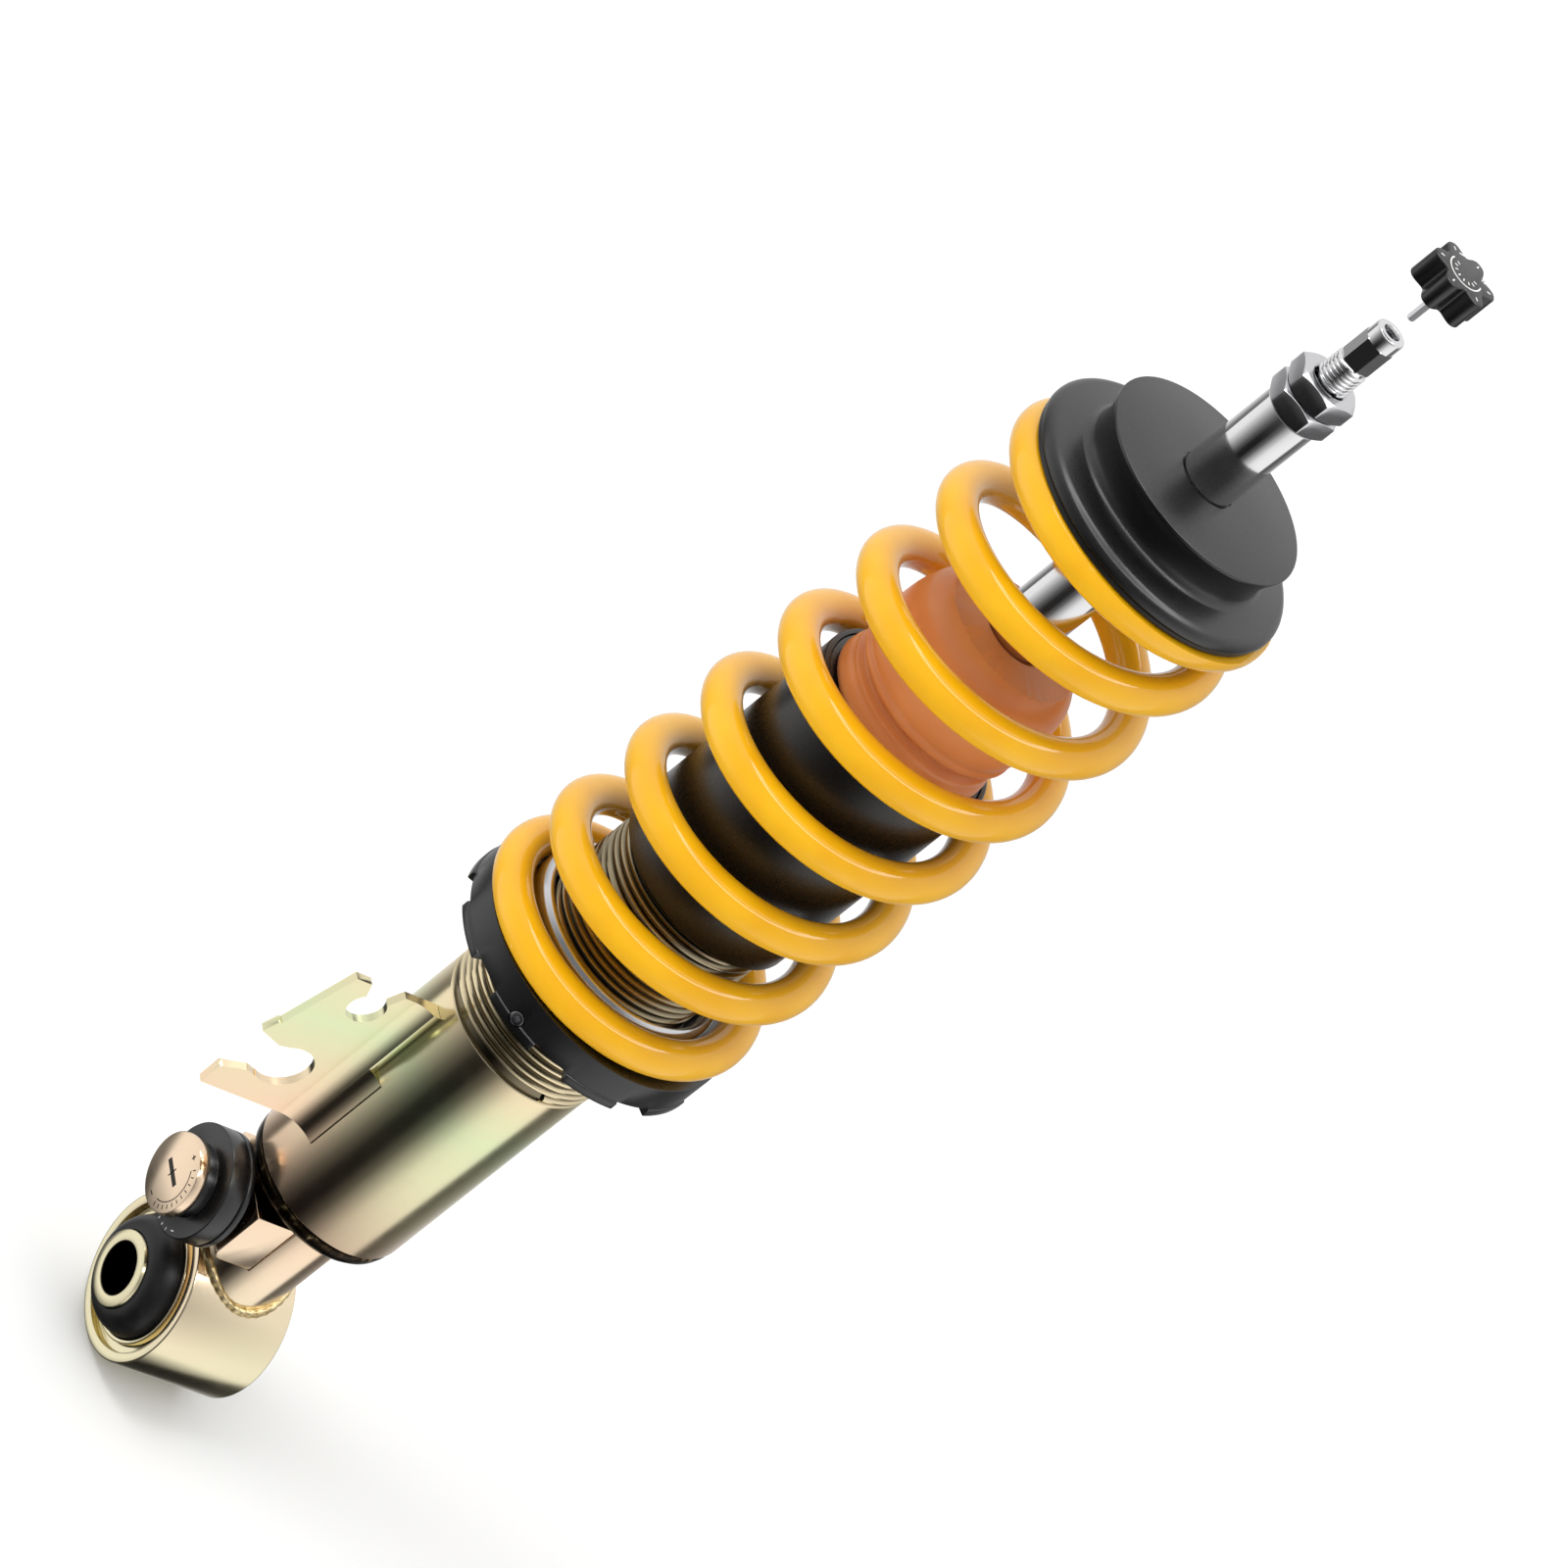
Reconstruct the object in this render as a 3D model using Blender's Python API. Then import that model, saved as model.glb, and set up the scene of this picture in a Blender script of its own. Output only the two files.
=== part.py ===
"""Rear coilover: an adjustable damper with its coil spring, spring seats, lower eye and adjusters.

The strut axis is Z and the lower eye's centre is the origin. The eye's bolt axis is Y.
Lengths are in metres. A turned piece is given by its half section, as (radius, height) points.
"""

import math

import bmesh
import bpy
from mathutils import Matrix, Vector

# Lower eye and bush, turned about Y
EYE_RADIUS = 0.0242
EYE_BORE = 0.0191
EYE_MOUTH = 0.0212
EYE_MOUTH_DEPTH = 0.0025
EYE_HALF_WIDTH = 0.0170
BUSH_SLEEVE_RADIUS = 0.0188
BUSH_SLEEVE_BORE = 0.0176
BUSH_CORE_RADIUS = 0.0109
BUSH_CORE_BORE = 0.0074
BUSH_CORE_HALF_WIDTH = 0.0248

# Damper tube and neck
TUBE_RADIUS = 0.0248
THREAD_RADIUS = 0.0250
THREAD_START = 0.1370
THREAD_PITCH = 0.0025
TUBE_BORE = 0.0220
TUBE_BOTTOM = 0.0603
TUBE_TOP = 0.2700
BASE_BOTTOM = 0.0545
NECK_RADIUS = 0.0161
NECK_FLAT = 0.0073

# Compression adjuster, turned about an axis that points along -Y
DIAL_HEIGHT = 0.0410
HIGH_DIAL_RADIUS = 0.0162
HIGH_DIAL_BACK = 0.0244
HIGH_DIAL_FOOT = 0.0226
HIGH_DIAL_FACE = 0.0325
LOW_DIAL_RADIUS = 0.0114
LOW_DIAL_BACK = 0.0363
LOW_DIAL_FACE = 0.0398
HOUSING_HALF = 0.0098
HOUSING_HALF_WIDTH = 0.0143
HOUSING_FRONT = 0.0206
HOUSING_FACE = 0.0222

# Hose bracket: a radial plate on the -Y side with two open slots
PLATE_HALF = 0.0012
BRACKET_BOTTOM = 0.0770
BRACKET_TOP = 0.1315
WIDE_SLOT = (-0.0447, 0.0931, 0.0077)
NARROW_SLOT = (-0.0424, 0.1228, 0.0054)

# Adjusting collar and spring
TOOTH_RADIUS = 0.0410
COLLAR_RADIUS = 0.0405
COLLAR_BOTTOM = 0.1600
COLLAR_TOP = 0.1713
NOTCHES = 9
NOTCH_ANGLE = 16.0
NOTCH_DEPTH = 0.0026
FIRST_NOTCH = -70.0
GRUB_ANGLE = -49.4
GRUB_HEIGHT = 0.1631
WIRE_RADIUS = 0.0054
COIL_RADIUS = 0.0361
COIL_PITCH = 0.0287
COIL_TURNS = 7.9
COIL_START_ANGLE = 135.0
SPRING_BOTTOM = 0.1716
SPRING_TOP = 0.3716

# Rod, upper seat and rod end
ROD_RADIUS = 0.0083
ROD_END_RADIUS = 0.0050
ROD_BORE = 0.00245
PISTON_TOP = 0.2357
ROD_SHOULDER = 0.3760
ROD_TOP = 0.4530
SEAT_RADIUS = 0.0401
SEAT_TOP = 0.3902
SPACER_RADIUS = 0.00806
NUT_FLATS = 0.0170
NUT_HEIGHT = 0.0060
LOWER_NUT_BOTTOM = 0.4200
ROD_HEX_FLATS = 0.0080
KNOB_BOTTOM = 0.4685
KNOB_TOP = 0.4775
KNOB_RADIUS = 0.0098

GAP = 0.0003
LARGE_SIDES = 48
MEDIUM_SIDES = 32
SMALL_SIDES = 20


def clear_scene():
    for obj in list(bpy.data.objects):
        bpy.data.objects.remove(obj, do_unlink=True)


def make_material(name, colour, roughness, metallic):
    material = bpy.data.materials.new(name)
    material.use_nodes = True
    shader = material.node_tree.nodes["Principled BSDF"]
    shader.inputs["Base Color"].default_value = (*colour, 1.0)
    shader.inputs["Roughness"].default_value = roughness
    shader.inputs["Metallic"].default_value = metallic
    return material


def make_axis(name, location=(0, 0, 0), outward=(0, 0, 1)):
    """An empty whose local Z is the axis that its pieces are turned about."""
    axis = bpy.data.objects.new(name, None)
    bpy.context.scene.collection.objects.link(axis)
    axis.location = location
    axis.rotation_euler = Vector((0, 0, 1)).rotation_difference(Vector(outward)).to_euler()
    return axis


def add_piece(name, bm, axis, colour, roughness=0.4, metallic=0.0):
    bmesh.ops.remove_doubles(bm, verts=bm.verts, dist=1e-6)
    bmesh.ops.recalc_face_normals(bm, faces=bm.faces)
    mesh = bpy.data.meshes.new(name)
    bm.to_mesh(mesh)
    bm.free()
    mesh.shade_smooth()
    mesh.set_sharp_from_angle(angle=math.radians(35))
    mesh.materials.append(make_material(name, colour, roughness, metallic))
    piece = bpy.data.objects.new(name, mesh)
    bpy.context.scene.collection.objects.link(piece)
    piece.parent = axis
    return piece


def spun(profile, sides, closed=True, first=0.0, sweep=360.0):
    """A bmesh turned about Z from a half section; closed joins its last point to its first."""
    bm = bmesh.new()
    turn = Matrix.Rotation(math.radians(first), 3, "Z")
    verts = [bm.verts.new(turn @ Vector((r, 0, z))) for r, z in profile]
    edges = [bm.edges.new(pair) for pair in zip(verts, verts[1:])]
    if closed:
        edges.append(bm.edges.new((verts[-1], verts[0])))
    whole = sweep >= 360.0
    section = verts + edges
    if not whole:
        section = verts + edges + [bm.faces.new(verts)]
    bmesh.ops.spin(
        bm,
        geom=section,
        cent=(0, 0, 0),
        axis=(0, 0, 1),
        angle=math.radians(sweep),
        steps=sides,
        use_merge=whole,
    )
    return bm


def turned(name, axis, profile, sides, colour, roughness=0.4, metallic=0.0):
    """A turned piece. A section that starts and ends on the axis is left open there."""
    on_axis = profile[0][0] == 0 and profile[-1][0] == 0
    bm = spun(profile, sides, closed=not on_axis)
    return add_piece(name, bm, axis, colour, roughness, metallic)


def ring(inner, outer, low, high, bevel=0.0):
    """The half section of a plain ring, with its outer edges bevelled."""
    if bevel == 0:
        return [(inner, low), (outer, low), (outer, high), (inner, high)]
    return [
        (inner, low),
        (outer - bevel, low),
        (outer, low + bevel),
        (outer, high - bevel),
        (outer - bevel, high),
        (inner, high),
    ]


def prism(outline, low, high, turn=None):
    """A bmesh extruded along Z from a flat outline, then turned by a matrix."""
    bm = bmesh.new()
    face = bm.faces.new([bm.verts.new((x, y, low)) for x, y in outline])
    grown = bmesh.ops.extrude_face_region(bm, geom=[face])["geom"]
    moved = [v for v in grown if isinstance(v, bmesh.types.BMVert)]
    bmesh.ops.translate(bm, verts=moved, vec=(0, 0, high - low))
    bmesh.ops.recalc_face_normals(bm, faces=bm.faces)
    if turn is not None:
        bmesh.ops.transform(bm, matrix=turn, verts=bm.verts)
    return bm


def circle(radius, sides, centre=(0, 0), first=0.0):
    steps = [math.radians(first + 360 * i / sides) for i in range(sides)]
    return [(centre[0] + radius * math.cos(a), centre[1] + radius * math.sin(a)) for a in steps]


def hexagon(flats, first=0.0):
    return circle(flats / math.sqrt(3), 6, first=first)


def box(low, high):
    outline = [(low[0], low[1]), (high[0], low[1]), (high[0], high[1]), (low[0], high[1])]
    return prism(outline, low[2], high[2])


def boolean(piece, bm, operation, axis=None):
    """Cuts a shape from a piece, or joins it, with a helper object that isn't rendered."""
    bmesh.ops.recalc_face_normals(bm, faces=bm.faces)
    count = len(piece.modifiers)
    mesh = bpy.data.meshes.new(f"{piece.name}_helper_{count}")
    bm.to_mesh(mesh)
    bm.free()
    helper = bpy.data.objects.new(mesh.name, mesh)
    bpy.context.scene.collection.objects.link(helper)
    helper.parent = axis if axis else piece.parent
    helper.hide_render = True
    helper.display_type = "WIRE"
    modifier = piece.modifiers.new(operation.title(), "BOOLEAN")
    modifier.operation = operation
    modifier.solver = "EXACT"
    modifier.object = helper


GOLD = (0.80, 0.62, 0.32)
BLACK = (0.03, 0.03, 0.032)
STEEL = (0.62, 0.62, 0.64)
CHROME = (0.80, 0.80, 0.82)
RUBBER = (0.02, 0.02, 0.02)


def make_eye(eye_axis):
    mouth = EYE_HALF_WIDTH - EYE_MOUTH_DEPTH
    section = [
        (EYE_BORE, -mouth),
        (EYE_MOUTH, -mouth),
        (EYE_MOUTH, -EYE_HALF_WIDTH),
        (EYE_RADIUS, -EYE_HALF_WIDTH),
        (EYE_RADIUS, EYE_HALF_WIDTH),
        (EYE_MOUTH, EYE_HALF_WIDTH),
        (EYE_MOUTH, mouth),
        (EYE_BORE, mouth),
    ]
    turned("eye_ring", eye_axis, section, LARGE_SIDES, GOLD, 0.3, 1.0)
    sleeve = ring(BUSH_SLEEVE_BORE, BUSH_SLEEVE_RADIUS, -0.0166, 0.0166)
    turned("bush_outer_sleeve", eye_axis, sleeve, LARGE_SIDES, GOLD, 0.3, 1.0)


def make_bush(eye_axis, core_axis):
    outer = BUSH_SLEEVE_BORE - GAP
    inner = BUSH_CORE_RADIUS + GAP
    dome = [(outer, 0.0155), (0.0170, 0.0180), (0.0155, 0.0210), (0.0132, 0.0232), (inner, 0.0239)]
    section = dome + [(r, -w) for r, w in reversed(dome)]
    turned("bush_rubber", eye_axis, section, MEDIUM_SIDES, RUBBER, 0.6)
    core = ring(BUSH_CORE_BORE, BUSH_CORE_RADIUS, -BUSH_CORE_HALF_WIDTH, BUSH_CORE_HALF_WIDTH)
    turned("bush_inner_sleeve", core_axis, core, MEDIUM_SIDES, STEEL, 0.3, 1.0)


def make_tube(strut):
    edge = 0.0010
    section = [
        (TUBE_BORE, TUBE_BOTTOM),
        (TUBE_RADIUS - edge, TUBE_BOTTOM),
        (TUBE_RADIUS, TUBE_BOTTOM + edge),
        (TUBE_RADIUS, THREAD_START - edge),
        (THREAD_RADIUS, THREAD_START),
        (THREAD_RADIUS, TUBE_TOP),
        (TUBE_BORE, TUBE_TOP),
    ]
    turned("damper_tube", strut, section, LARGE_SIDES, GOLD, 0.25, 1.0)
    top = TUBE_BOTTOM - GAP
    plug = TUBE_BORE - GAP
    base = [
        (0.0030, BASE_BOTTOM),
        (0.0212, BASE_BOTTOM),
        (0.0224, BASE_BOTTOM + 0.0007),
        (0.0238, BASE_BOTTOM + 0.0025),
        (0.0246, BASE_BOTTOM + 0.0045),
        (0.0246, top),
        (plug, top),
        (plug, top + 0.0050),
        (0.0030, top + 0.0050),
    ]
    turned("tube_base", strut, base, LARGE_SIDES, (0.25, 0.20, 0.12), 0.4, 1.0)


def make_neck(strut, dial_axis, eye_axis):
    """The neck between eye and tube. Oil runs down its bore to the adjuster's cross bore."""
    neck_top = BASE_BOTTOM - GAP
    low = 0.0100
    section = [(0, low), (NECK_RADIUS, low), (NECK_RADIUS, neck_top), (0, neck_top)]
    neck = turned("valve_neck", strut, section, MEDIUM_SIDES, GOLD, 0.3, 1.0)
    eye_seat = prism(circle(EYE_RADIUS + GAP, LARGE_SIDES), -0.0300, 0.0300)
    boolean(neck, eye_seat, "DIFFERENCE", eye_axis)
    oil_bore = prism(circle(0.0030, SMALL_SIDES), DIAL_HEIGHT, neck_top + 0.0100)
    boolean(neck, oil_bore, "DIFFERENCE")
    ledge = DIAL_HEIGHT - HOUSING_HALF - GAP
    flat = box((-0.0300, -0.0300, ledge), (0.0300, -NECK_FLAT, neck_top + 0.0100))
    boolean(neck, flat, "DIFFERENCE")
    cross_bore = prism(circle(0.0059, SMALL_SIDES), 0.0025, 0.0200)
    boolean(neck, cross_bore, "DIFFERENCE", dial_axis)


def make_housing(dial_axis):
    """The valve housing: a block that stands on the neck's flat, with a spigot and a bore."""
    half = HOUSING_HALF
    side = HOUSING_HALF_WIDTH
    corner = 0.0020
    outline = [
        (side, corner - half),
        (side, half - corner),
        (side - corner, half),
        (corner - side, half),
        (-side, half - corner),
        (-side, corner - half),
        (corner - side, -half),
        (side - corner, -half),
    ]
    block = prism(outline, NECK_FLAT + GAP, HOUSING_FRONT)
    housing = add_piece("adjuster_housing", block, dial_axis, GOLD, 0.3, 1.0)
    spigot = prism(circle(0.0056, SMALL_SIDES), 0.0040, HOUSING_FACE)
    boolean(housing, spigot, "UNION")
    bore = prism(circle(0.0048, SMALL_SIDES), 0.0000, HOUSING_FACE + 0.0100)
    boolean(housing, bore, "DIFFERENCE")


def make_dials(low_axis, high_axis):
    groove = 0.0005
    split = HIGH_DIAL_BACK + 0.0018
    bore = 0.0024
    hub = 0.0102
    high = [
        (bore, HIGH_DIAL_FOOT),
        (0.0130, HIGH_DIAL_FOOT),
        (0.0130, HIGH_DIAL_BACK),
        (HIGH_DIAL_RADIUS, HIGH_DIAL_BACK),
        (HIGH_DIAL_RADIUS, split),
        (HIGH_DIAL_RADIUS - groove, split + groove),
        (HIGH_DIAL_RADIUS, split + 2 * groove),
        (HIGH_DIAL_RADIUS, HIGH_DIAL_FACE - groove),
        (HIGH_DIAL_RADIUS - groove, HIGH_DIAL_FACE),
        (hub, HIGH_DIAL_FACE),
        (hub, LOW_DIAL_BACK - GAP),
        (bore, LOW_DIAL_BACK - GAP),
    ]
    turned("high_speed_dial", high_axis, high, MEDIUM_SIDES, BLACK, 0.4, 0.6)
    sleeve = ring(bore, 0.0045, 0.0050, HIGH_DIAL_FOOT - GAP)
    turned("high_speed_sleeve", high_axis, sleeve, SMALL_SIDES, STEEL, 0.3, 1.0)
    cap = [
        (0, LOW_DIAL_BACK),
        (LOW_DIAL_RADIUS, LOW_DIAL_BACK),
        (LOW_DIAL_RADIUS, LOW_DIAL_FACE - groove / 2),
        (LOW_DIAL_RADIUS - groove / 2, LOW_DIAL_FACE),
        (0, LOW_DIAL_FACE),
    ]
    turned("low_speed_dial", low_axis, cap, MEDIUM_SIDES, GOLD, 0.3, 1.0)
    needle = [(0, 0.0030), (0.0020, 0.0060), (0.0020, LOW_DIAL_BACK - GAP), (0, LOW_DIAL_BACK - GAP)]
    turned("low_speed_needle", low_axis, needle, SMALL_SIDES, STEEL, 0.3, 1.0)


def make_bracket(strut):
    """A plate that stands radially on the tube, with a foot that wraps part of the tube."""
    root = -0.0262
    outline = [
        (root, BRACKET_BOTTOM),
        (root, BRACKET_TOP),
        (-0.0527, BRACKET_TOP),
        (-0.0580, 0.1070),
        (-0.0598, 0.1020),
        (-0.0520, 0.0995),
        (-0.0520, 0.0868),
        (-0.0591, 0.0852),
        (-0.0591, BRACKET_BOTTOM),
    ]
    # the outline's (y, z) become the plate's own plane
    stand = Matrix(((0, 0, 1, 0), (1, 0, 0, 0), (0, 1, 0, 0), (0, 0, 0, 1)))
    plate = prism(outline, -PLATE_HALF, PLATE_HALF, stand)
    bracket = add_piece("hose_bracket", plate, strut, GOLD, 0.3, 1.0)
    low_radius = TUBE_RADIUS + 0.00045
    high_radius = low_radius + 2 * PLATE_HALF
    step = 0.1050
    for bottom, top, end in ((BRACKET_BOTTOM, step, -73.0), (step - 0.0010, BRACKET_TOP, -81.5)):
        start = -92.6
        foot = spun(ring(low_radius, high_radius, bottom, top), 6, True, start, end - start)
        boolean(bracket, foot, "UNION")
    y, z, radius = WIDE_SLOT
    half = 2 * PLATE_HALF
    round_end = prism(circle(radius, MEDIUM_SIDES, (y, z)), -half, half, stand)
    boolean(bracket, round_end, "DIFFERENCE")
    low, high = z - 0.0067, z + 0.0067
    mouth = prism([(y, low), (y, high), (-0.07, high), (-0.07, low)], -half, half, stand)
    boolean(bracket, mouth, "DIFFERENCE")
    y, z, radius = NARROW_SLOT
    round_end = prism(circle(radius, MEDIUM_SIDES, (y, z)), -half, half, stand)
    boolean(bracket, round_end, "DIFFERENCE")
    funnel = [(y - 0.0034, z), (y + 0.0042, z), (y + 0.0042, z + 0.0044), (y + 0.0070, BRACKET_TOP + 0.001)]
    funnel += [(y - 0.0062, BRACKET_TOP + 0.001), (y - 0.0034, z + 0.0044)]
    boolean(bracket, prism(funnel, -half, half, stand), "DIFFERENCE")


def make_tube_inside(strut):
    """Inner cylinder, base valve, rod guide, seal and closing nut."""
    bottom = TUBE_BOTTOM + 0.0050
    guide_bottom = 0.2505
    plug = TUBE_BORE - GAP
    cylinder = ring(0.0180, 0.0200, bottom, guide_bottom - GAP)
    turned("inner_cylinder", strut, cylinder, MEDIUM_SIDES, STEEL, 0.3, 1.0)
    valve = ring(0.0030, 0.0180 - GAP, bottom + 0.0002, bottom + 0.0080, 0.0010)
    turned("base_valve", strut, valve, MEDIUM_SIDES, STEEL, 0.4, 1.0)
    bore = ROD_RADIUS + GAP
    guide = ring(bore, plug, guide_bottom, 0.2600)
    turned("rod_guide", strut, guide, MEDIUM_SIDES, STEEL, 0.4, 1.0)
    seal = ring(bore, plug, 0.2600 + GAP, 0.2640)
    turned("rod_seal", strut, seal, MEDIUM_SIDES, RUBBER, 0.5)
    nut = ring(bore + 0.0010, plug, 0.2640 + GAP, TUBE_TOP)
    turned("closure_nut", strut, nut, MEDIUM_SIDES, STEEL, 0.4, 1.0)


def make_dust_sleeve(strut):
    bottom = 0.2090
    top = 0.2830
    outer = 0.0278
    inner = 0.0263
    turned("dust_sleeve", strut, ring(inner, outer, bottom, top), LARGE_SIDES, BLACK, 0.45)
    cap = ring(ROD_RADIUS + 2 * GAP, inner - GAP, top - 0.0030, top)
    turned("sleeve_cap", strut, cap, MEDIUM_SIDES, BLACK, 0.45)
    foot = top + GAP
    bore = ROD_RADIUS + 0.0005
    stop = [
        (bore, foot),
        (0.0240, foot),
        (0.0248, foot + 0.0050),
        (0.0225, foot + 0.0078),
        (0.0225, foot + 0.0092),
        (0.0252, foot + 0.0118),
        (0.0257, foot + 0.0220),
        (0.0252, foot + 0.0300),
        (0.0238, foot + 0.0350),
        (0.0205, foot + 0.0385),
        (0.0160, foot + 0.0397),
        (0.0115, foot + 0.0390),
        (bore, foot + 0.0360),
    ]
    turned("bump_stop", strut, stop, MEDIUM_SIDES, (0.80, 0.32, 0.12), 0.5)


def make_collar(strut):
    """The threaded collar. Its lower edge is cut into teeth for a hook spanner."""
    roof = COLLAR_BOTTOM + NOTCH_DEPTH
    section = [
        (THREAD_RADIUS + GAP, COLLAR_BOTTOM),
        (TOOTH_RADIUS, COLLAR_BOTTOM),
        (TOOTH_RADIUS, roof - GAP),
        (COLLAR_RADIUS, roof),
        (COLLAR_RADIUS, COLLAR_TOP - 0.0004),
        (COLLAR_RADIUS - 0.0004, COLLAR_TOP),
        (THREAD_RADIUS + GAP, COLLAR_TOP),
    ]
    collar = turned("adjusting_collar", strut, section, 72, BLACK, 0.4, 0.6)
    half = math.radians(NOTCH_ANGLE / 2)
    low = COLLAR_BOTTOM - 0.0020
    notches = bmesh.new()
    for i in range(NOTCHES):
        middle = math.radians(FIRST_NOTCH + 360 / NOTCHES * i)
        corners = [(0.0200, -half), (0.0450, -half), (0.0450, half), (0.0200, half)]
        outline = [(r * math.cos(middle + a), r * math.sin(middle + a)) for r, a in corners]
        wedge = prism(outline, low, roof)
        mesh = bpy.data.meshes.new("wedge")
        wedge.to_mesh(mesh)
        wedge.free()
        notches.from_mesh(mesh)
        bpy.data.meshes.remove(mesh)
    boolean(collar, notches, "DIFFERENCE")
    grub_turn = radial_turn(GRUB_ANGLE, GRUB_HEIGHT)
    hole = prism(circle(0.00235, SMALL_SIDES), 0.0220, 0.0450, grub_turn)
    boolean(collar, hole, "DIFFERENCE")
    body = prism(circle(0.00205, SMALL_SIDES), 0.0345, 0.0405, grub_turn)
    grub = add_piece("collar_grub_screw", body, strut, STEEL, 0.25, 1.0)
    boolean(grub, prism(hexagon(0.0020), 0.0385, 0.0420, grub_turn), "DIFFERENCE")


def radial_turn(angle, height):
    """Turns local Z to point outwards at this angle, at this height."""
    around = Matrix.Rotation(math.radians(angle), 4, "Z")
    lay_down = Matrix.Rotation(math.radians(90), 4, "Y")
    return Matrix.Translation((0, 0, height)) @ around @ lay_down


def coil_height(turn):
    """Height of the wire's centre. The first and last turn close up to the seats."""
    low = SPRING_BOTTOM + 0.0010
    high = SPRING_TOP - 0.0010
    if turn < 1:
        return low + COIL_PITCH / 2 * turn**2
    if turn > COIL_TURNS - 1:
        return high - COIL_PITCH / 2 * (COIL_TURNS - turn) ** 2
    return low + COIL_PITCH * (turn - 0.5)


def make_spring(strut):
    """A closed coil spring whose ends are ground flat on its two seats."""
    steps = 158
    sides = 10
    bm = bmesh.new()
    rings = []
    for i in range(steps + 1):
        turn = COIL_TURNS * i / steps
        angle = math.radians(COIL_START_ANGLE + 360 * turn)
        rings.append([])
        for j in range(sides):
            around = 2 * math.pi * j / sides
            radius = COIL_RADIUS + WIRE_RADIUS * math.cos(around)
            height = coil_height(turn) + WIRE_RADIUS * math.sin(around)
            height = min(max(height, SPRING_BOTTOM), SPRING_TOP)
            rings[-1].append(bm.verts.new((radius * math.cos(angle), radius * math.sin(angle), height)))
    for first, second in zip(rings, rings[1:]):
        for j in range(sides):
            k = (j + 1) % sides
            bm.faces.new((first[j], first[k], second[k], second[j]))
    bm.faces.new(rings[0])
    bm.faces.new(rings[-1])
    add_piece("main_spring", bm, strut, (0.85, 0.55, 0.02), 0.2)


def make_centring_ring(strut):
    bottom = COLLAR_TOP + GAP
    section = [
        (0.0262, bottom),
        (0.0302, bottom),
        (0.0302, bottom + 0.0075),
        (0.0290, bottom + 0.0095),
        (0.0272, bottom + 0.0095),
        (0.0262, bottom + 0.0080),
    ]
    turned("centring_ring", strut, section, LARGE_SIDES, STEEL, 0.2, 1.0)


def make_piston(strut):
    stub = ROD_END_RADIUS + GAP
    bottom = 0.2220
    groove_low = 0.2255
    groove_high = 0.2320
    section = [
        (stub, bottom),
        (0.0177, bottom),
        (0.0177, groove_low),
        (0.0162, groove_low),
        (0.0162, groove_high),
        (0.0177, groove_high),
        (0.0177, PISTON_TOP),
        (stub, PISTON_TOP),
    ]
    turned("piston", strut, section, MEDIUM_SIDES, STEEL, 0.4, 1.0)
    band = ring(0.0165, 0.01775, groove_low + GAP, groove_high - GAP)
    turned("piston_band", strut, band, MEDIUM_SIDES, (0.10, 0.25, 0.20), 0.5)
    shims = ring(stub, 0.0120, bottom - GAP - 0.0015, bottom - GAP)
    turned("shim_stack", strut, shims, SMALL_SIDES, STEEL, 0.3, 1.0)
    nut_top = bottom - 2 * GAP - 0.0015
    body = prism(hexagon(0.0160), nut_top - 0.0080, nut_top)
    nut = add_piece("piston_nut", body, strut, STEEL, 0.4, 1.0)
    boolean(nut, prism(circle(stub, SMALL_SIDES), 0.2000, 0.2300), "DIFFERENCE")
    bumper = ring(ROD_RADIUS + GAP, 0.0130, PISTON_TOP + GAP, 0.2502, 0.0010)
    turned("rebound_stop", strut, bumper, SMALL_SIDES, RUBBER, 0.6)


def make_rod(strut):
    """The hollow rod: piston stub, ground shaft, thread, spanner hexagon and round tip."""
    hex_low = 0.4400
    hex_high = 0.4493
    tip = 0.0044
    corner = ROD_HEX_FLATS / math.sqrt(3)
    section = [
        (ROD_BORE, 0.2100),
        (ROD_END_RADIUS, 0.2100),
        (ROD_END_RADIUS, PISTON_TOP + GAP),
        (ROD_RADIUS, PISTON_TOP + GAP),
        (ROD_RADIUS, ROD_SHOULDER),
        (ROD_END_RADIUS, ROD_SHOULDER),
        (ROD_END_RADIUS, hex_low),
        (corner, hex_low),
        (corner, hex_high),
        (tip, hex_high),
        (tip, ROD_TOP - 0.0008),
        (tip - 0.0008, ROD_TOP),
        (ROD_BORE, ROD_TOP),
    ]
    rod = turned("piston_rod", strut, section, MEDIUM_SIDES, CHROME, 0.08, 1.0)
    for i in range(6):
        flat = ROD_HEX_FLATS / 2
        side = box((flat, -0.0080, hex_low - GAP), (0.0100, 0.0080, hex_high + GAP))
        turn = Matrix.Rotation(math.radians(60 * i - 45), 3, "Z")
        bmesh.ops.rotate(side, cent=(0, 0, 0), matrix=turn, verts=side.verts)
        boolean(rod, side, "DIFFERENCE")


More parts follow.
